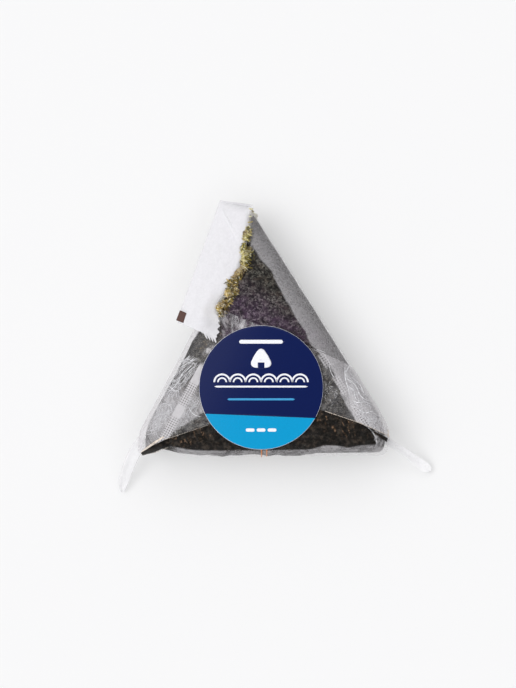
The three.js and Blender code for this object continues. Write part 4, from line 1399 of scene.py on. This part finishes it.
def rice_ball_mark(centre, size):
    """A rounded triangle as a polar grid: the radius swings three times round."""
    angle = np.linspace(0, 2 * np.pi, BALL_GRID[0])[:, None]
    swing = 1 + 0.16 * np.cos(3 * (angle - np.pi / 2)) + 0.03 * np.cos(6 * (angle - np.pi / 2))
    run = size * swing * np.linspace(0.001, 1, BALL_GRID[1])[None]
    return centre[0] + np.cos(angle) * run, centre[1] + np.sin(angle) * run


def build_marks(name, shapes, layer=PRINT_LAYER):
    """Several printed shapes joined in one thin piece that follows the face."""
    points, faces, count = [], [], 0
    for x, y in shapes:
        points.append(on_face(x + LABEL_CENTRE[0], y + LABEL_CENTRE[1], layer).reshape(-1, 3))
        faces.extend(grid_quads(*x.shape) + count)
        count += x.size
    return walled(new_object(name, np.concatenate(points), faces), INK)


def build_tape(name, offset):
    """One line of the tear tape: a narrow strip round the pack's profile at one x, from under
    the label over the base and along the underside to the tip."""
    y = np.concatenate([np.linspace(8, -0.2, TEAR_FACE_STEPS), np.linspace(-0.2, 98.3, TEAR_BACK_STEPS)])
    behind = np.arange(len(y)) >= TEAR_FACE_STEPS
    x = offset + np.where(behind, (TIP[0] - offset) * smooth_step(y, 20, 98), 0.0)
    bottom = np.maximum(underside_height(x, y, TAPE_LAYER), TAPE_FLOOR)
    path = np.stack([x, y, np.where(behind, bottom, face_height(x, y, TAPE_LAYER))], -1)
    path = path[depth_at(x, y)[0] + SKIN_LAYER > 0]
    half = np.array([TEAR_HALF_WIDTH, 0, 0])
    return open_sheet(name, np.stack([path - half, path + half], 1), FOLD)


# Settings

SHARE = {"min": 0, "max": 1}
LENGTH = {"unit": "LENGTH"}
ANGLE = {"subtype": "ANGLE"}


def colour_of(name, description, default):
    """A colour that a user may change."""
    return bpy.props.FloatVectorProperty(
        name=name, description=description, subtype="COLOR", default=default
    )


def size_of(name, description, default, **kind):
    """A number that a user may change, with its unit, subtype or limits."""
    return bpy.props.FloatProperty(name=name, description=description, default=default, **kind)


class RiceLook(bpy.types.PropertyGroup):
    """Colour and grain sizes of the rice"""

    colour: colour_of("Colour", "Colour of the boiled rice", (0.86, 0.84, 0.78))
    length: size_of("Grain length", "Length of a whole grain", 0.0058, **LENGTH)
    girth: size_of("Grain girth", "Thickness of a whole grain", 0.0026, **LENGTH)


class NoriLook(bpy.types.PropertyGroup):
    """Tones and relief of the nori"""

    dark: colour_of("Dark", "Darkest tone of the sheet", (0.003, 0.0025, 0.002))
    mid: colour_of("Middle", "Middle tone of the sheet", (0.008, 0.0062, 0.0052))
    light: colour_of("Light", "Tone of its lighter fibres", (0.040, 0.031, 0.024))
    purple: colour_of("Purple", "Cast of the lower part of the face", (0.052, 0.028, 0.056))
    fleck: colour_of("Flecks", "Tone of its pale flecks", (0.46, 0.37, 0.44))
    relief: size_of("Relief", "Height of its bumps", 0.00018, precision=5, **LENGTH)


class FilmLook(bpy.types.PropertyGroup):
    """Haze, seals and gloss of the film"""

    colour: colour_of("Haze colour", "Colour of the film's haze", (0.815, 0.792, 0.815))
    skin_haze: size_of("Skin haze", "Haze of film that lies on the nori", 0.006, **SHARE)
    seal_cover: size_of("Seal cover", "How much each wall of a seal hides", 0.56, **SHARE)
    dot_depth: size_of("Dot depth", "How much clearer a seal's dots are", 0.68, **SHARE)
    cloud: size_of("Cloud", "How uneven the haze is", 0.34, **SHARE)
    roughness: size_of("Roughness", "Roughness of the film's gloss", 0.3, **SHARE)


class LabelLook(bpy.types.PropertyGroup):
    """Inks and gloss of the label"""

    navy: colour_of("Upper field", "Ink of the upper field", (0.003, 0.010, 0.076))
    cyan: colour_of("Lower field", "Ink of the lower field", (0.003, 0.31, 0.60))
    white: colour_of("Marks", "Ink of the plain marks", (0.86, 0.87, 0.93))
    pale: colour_of("Small marks", "Ink of the small marks", (0.05, 0.32, 0.62))
    roughness: size_of("Roughness", "Roughness of the laminated print", 0.1, **SHARE)
    gloss: size_of("Gloss", "Specular level of the laminated print", 0.28, **SHARE)


class StageLook(bpy.types.PropertyGroup):
    """Floor, camera and light"""

    floor: colour_of("Floor", "Colour of the floor", (0.50, 0.50, 0.502))
    glow: size_of("Glow", "The floor's own light", 0.38, min=0)
    elevation: size_of("Elevation", "How high the camera stands", np.radians(86), **ANGLE)
    distance: size_of("Distance", "Camera to the label", 0.8, **LENGTH)
    sky: size_of("Sky", "Strength of the sky", 1.6, min=0)
    overhead: size_of("Overhead", "The sky's share straight above", 0.12, **SHARE)
    blind: size_of("Blind", "The sky's share above, left of the straight edge", 0.62, **SHARE)
    horizon: size_of("Horizon", "The sky's share near the horizon", 0.2, **SHARE)
    lean: size_of("Lean", "How much brighter the sky is on the left", 0.45, **SHARE)
    sun: size_of("Sun", "Strength of the broad sun", 0.9, min=0)
    sun_spread: size_of("Sun spread", "How broad the sun is", np.radians(34), **ANGLE)


# Operators

class ONIGIRI_OT_rice(bpy.types.Operator):
    """Make the pressed rice and the grains that show beside the torn nori"""

    bl_idname = "onigiri.rice"
    bl_label = "Rice"

    def execute(self, context):
        look = context.scene.onigiri_rice
        material = rice_material(look)
        finish_piece(build_rice(), material, "rice", "rice_ball")
        finish_piece(build_grains(look), material, "rice")
        return {"FINISHED"}


class ONIGIRI_OT_nori(bpy.types.Operator):
    """Make the nori sheet, the part folded up from the base and the loose shreds"""

    bl_idname = "onigiri.nori"
    bl_label = "Nori"

    def execute(self, context):
        look = context.scene.onigiri_nori
        material = nori_material(look)
        finish_piece(build_nori(look), material, "nori", "nori_wrap")
        base = nori_material(look, "nori below", (0.10, 0.055, 0.030), (0.27, 0.17, 0.11), 0.48)
        finish_piece(build_base_flap(), base, "nori", "base_flap")
        # Painted shade: dark nori-coloured strips lie in the gaps where the side flaps' edges overhang the
        # base flap
        for name, lines in GAP_SHADES.items():
            finish_piece(ruled_strip(name, *lines, GAP_SHADE_LAYER), material, "nori")
        finish_piece(build_shreds(), shred_material(), "nori")
        return {"FINISHED"}


class ONIGIRI_OT_film(bpy.types.Operator):
    """Make the film skin, the two sealed flaps and their creases"""

    bl_idname = "onigiri.film"
    bl_label = "Film"

    def execute(self, context):
        look = context.scene.onigiri_film
        skin = film_material("film skin", look.colour, look.skin_haze, 0.42, 1.0, 0.4, look.roughness, 0.1)
        finish_piece(build_skin(), skin[0], "film")
        left = sealed_film_material("left flap film", look, LEFT_SEAL)
        finish_piece(build_left_flap(), left, "film", "left_flap")
        right = sealed_film_material("right flap film", look, RIGHT_SEAL)
        finish_piece(build_right_flap(), right, "film", "right_flap")
        white = crease_material("film creases and painted highlights", (0.86, 0.855, 0.88))
        finish_piece(creases("left_creases", LEFT_CREASES, LEFT_LINES, 111), white, "film")
        finish_piece(creases("right_creases", RIGHT_CREASES, RIGHT_LINES, 112), white, "film")
        cream = crease_material("film edges", (0.86, 0.76, 0.66))
        finish_piece(edge_strip(*LEFT_FLAP_EDGE), cream, "film")
        fold = ruled_strip("left_corner_fold", *LEFT_CORNER_FOLD, CREASE_LAYER + 0.05)
        finish_piece(fold, cream, "film")
        for edge in OTHER_EDGES:
            finish_piece(edge_strip(*edge), cream, "film")
        top = base_ridge(CORNER_FOLD_AT) + CORNER_FOLD_OUT
        drop = np.linspace(0, 1, 9)
        line = np.stack([base_flap_end(drop) + CORNER_FOLD_OUT, top - CORNER_FOLD_DROP * drop], -1)
        corner_fold = edge_strip("corner_fold", line, CORNER_FOLD_WIDTHS, CORNER_FOLD_TINTS)
        finish_piece(corner_fold, white, "film")
        return {"FINISHED"}


class ONIGIRI_OT_ends(bpy.types.Operator):
    """Make the white tab at the tip, its printed square and the two film tails"""

    bl_idname = "onigiri.ends"
    bl_label = "Tab and tails"

    def execute(self, context):
        white = film_material("tab film", (0.83, 0.822, 0.85), 0.62, 0.10, 6.0, 1.2, 0.4, 0.08)[0]
        finish_piece(build_tab(), white, "matte_film", "top_tab")
        square = print_material("brown print", (0.075, 0.028, 0.020), 0.4)
        finish_piece(build_square(), square, "print_brown")
        for name, (line, widths, seed, haze, colour) in TAILS.items():
            film = film_material(name + " film", colour, haze, 0.1, 1.8, 0.5, 0.4, 0.03, varied=False)[0]
            finish_piece(build_tail(name, line, widths, seed), film, "matte_film", name)
        return {"FINISHED"}


class ONIGIRI_OT_label(bpy.types.Operator):
    """Make the round label with its two fields and plain marks"""

    bl_idname = "onigiri.label"
    bl_label = "Label"

    def execute(self, context):
        look = context.scene.onigiri_label
        white = print_material("label white", look.white)
        navy = print_material("label navy", look.navy, look.roughness, look.gloss)
        cyan = print_material("label cyan", look.cyan, look.roughness, look.gloss)
        pale = print_material("label pale", look.pale)
        finish_piece(build_label_paper(), white, "label_white", "label")
        finish_piece(build_label_field("label_upper_field", True), navy, "label_navy")
        finish_piece(build_label_field("label_lower_field", False), cyan, "label_cyan")
        shapes = [bar((0, 17.6), 17, 1.5), bar((0, 0.3), 36, 0.7)]
        for radius, width in ((3.0, 0.7), (1.6, 0.6)):
            shapes += [half_ring((x, 2.0), radius, width) for x in np.linspace(-15, 15, 6)]
        shapes += [bar((x, -16.4), 3.4, 1.3) for x in (-4.2, 0, 4.2)]
        shapes.append(rice_ball_mark((0, 10.6), 3.6))
        finish_piece(build_marks("label_marks", shapes), white, "label_white")
        finish_piece(build_marks("label_small_marks", [bar((0, -4.6), 26, 0.8)]), pale, "label_cyan")
        band = np.meshgrid(np.linspace(-1.3, 1.3, 8), np.linspace(7.0, 9.6, 8), indexing="ij")
        finish_piece(build_marks("label_ball_band", [band], PRINT_LAYER + 0.05), navy, "label_navy")
        return {"FINISHED"}


class ONIGIRI_OT_tape(bpy.types.Operator):
    """Make the tear tape's two thin lines"""

    bl_idname = "onigiri.tape"
    bl_label = "Tear tape"

    def execute(self, context):
        orange = print_material("tear tape", (0.70, 0.24, 0.07), 0.35)
        for name, offset in TEAR_LINES.items():
            finish_piece(build_tape(name, offset), orange, "tear_tape")
        return {"FINISHED"}


class ONIGIRI_OT_stage(bpy.types.Operator):
    """Make the pale floor, the soft lights and the camera"""

    bl_idname = "onigiri.stage"
    bl_label = "Stage"

    def execute(self, context):
        look = context.scene.onigiri_stage
        ends = ((-1, -1), (1, -1), (1, 1), (-1, 1))
        corners = [(FLOOR_SIZE * x, FLOOR_SIZE * y, FLOOR_HEIGHT * MM) for x, y in ends]
        mesh = bpy.data.meshes.new("floor")
        mesh.from_pydata(corners, [], [(0, 1, 2, 3)])
        floor = bpy.data.objects.new("floor", mesh)
        context.scene.collection.objects.link(floor)
        mesh.materials.append(floor_material(look.floor, look.glow))
        self.lights(context, look)
        self.camera(context, look)
        return {"FINISHED"}

    def lights(self, context, look):
        """A very broad sun from the left, and a sky that is dark straight above, as over a
        camera stand, bright lower down and brighter on the left."""
        lamp = bpy.data.lights.new("window", "SUN")
        lamp.energy = look.sun
        lamp.angle = look.sun_spread
        made = bpy.data.objects.new("window", lamp)
        made.rotation_euler = Vector(SUN_FROM).to_track_quat("Z", "Y").to_euler()
        context.scene.collection.objects.link(made)
        world = bpy.data.worlds.new("sky")
        world.use_nodes = True
        tree = world.node_tree
        direction = add_node(tree, "ShaderNodeTexCoord", {}).outputs["Generated"]
        axes = add_node(tree, "ShaderNodeSeparateXYZ", {0: direction}).outputs
        facing_x, facing_y, over = BLIND_EDGE
        side = maths(tree, "MULTIPLY_ADD", axes[0], facing_x, times(tree, axes[1], facing_y))
        blind = mapped(tree, side, over - BLIND_SOFTNESS, over + BLIND_SOFTNESS, look.overhead, look.blind)
        overhead = mapped(tree, axes[2], *ZENITH_EDGE, 1.0, blind)
        horizon = mapped(tree, axes[2], *HORIZON_EDGE, look.horizon, 1.0)
        lean = maths(tree, "ADD", times(tree, axes[0], -look.lean), 1.0)
        strength = times(tree, times(tree, times(tree, lean, overhead), horizon), look.sky)
        set_inputs(tree, tree.nodes["Background"], {"Color": (0.99, 0.99, 1), "Strength": strength})
        context.scene.world = world

    def camera(self, context, look):
        """The photo's view: from almost straight above, a little from the base side."""
        back = np.array([0, -np.cos(look.elevation), np.sin(look.elevation)])
        aim = place([*LABEL_CENTRE, 30.0])
        aim[0] += (AXIS_PIXEL[0] - LABEL_PIXEL[0]) / PIXELS_PER_MM * MM
        aim[1] += (LABEL_PIXEL[1] - AXIS_PIXEL[1]) / PIXELS_PER_MM * MM / np.sin(look.elevation)
        spot = aim + back * look.distance
        lens = bpy.data.cameras.new("photo view")
        lens.sensor_width = SENSOR
        lens.lens = look.distance / MM * PIXELS_PER_MM * SENSOR / PHOTO_HEIGHT
        camera = bpy.data.objects.new("photo view", lens)
        camera.location = spot
        camera.rotation_euler = Vector(aim - spot).to_track_quat("-Z", "Y").to_euler()
        context.scene.collection.objects.link(camera)
        context.scene.camera = camera
        context.scene.view_settings.view_transform = "Standard"


OPERATORS = (
    ONIGIRI_OT_rice, ONIGIRI_OT_nori, ONIGIRI_OT_film, ONIGIRI_OT_ends, ONIGIRI_OT_label,
    ONIGIRI_OT_tape, ONIGIRI_OT_stage,
)
LOOKS = {
    "onigiri_rice": RiceLook,
    "onigiri_nori": NoriLook,
    "onigiri_film": FilmLook,
    "onigiri_label": LabelLook,
    "onigiri_stage": StageLook,
}


class ONIGIRI_PT_panel(bpy.types.Panel):
    """The makers of the pack's pieces, with their sizes and colours"""

    bl_idname = "ONIGIRI_PT_panel"
    bl_label = "Packed Onigiri"
    bl_space_type = "VIEW_3D"
    bl_region_type = "UI"
    bl_category = "Onigiri"

    def draw(self, context):
        for operator in OPERATORS:
            self.layout.operator(operator.bl_idname)
        for key, look in LOOKS.items():
            for name in look.__annotations__:
                self.layout.prop(getattr(context.scene, key), name)


def register():
    for made in (*LOOKS.values(), *OPERATORS, ONIGIRI_PT_panel):
        bpy.utils.register_class(made)
    for key, look in LOOKS.items():
        setattr(bpy.types.Scene, key, bpy.props.PointerProperty(type=look))


def unregister():
    for key in LOOKS:
        delattr(bpy.types.Scene, key)
    for made in (ONIGIRI_PT_panel, *OPERATORS, *LOOKS.values()):
        bpy.utils.unregister_class(made)


def main():
    """Registers the add-on and makes every piece."""
    register()
    for make_group in (mottle_group, haze_group, seal_dots_group, strands_group):
        make_group()
    bpy.ops.onigiri.stage()
    bpy.ops.onigiri.rice()
    bpy.ops.onigiri.nori()
    bpy.ops.onigiri.film()
    bpy.ops.onigiri.ends()
    bpy.ops.onigiri.label()
    bpy.ops.onigiri.tape()
    bpy.context.view_layer.update()


if __name__ == "__main__":
    main()
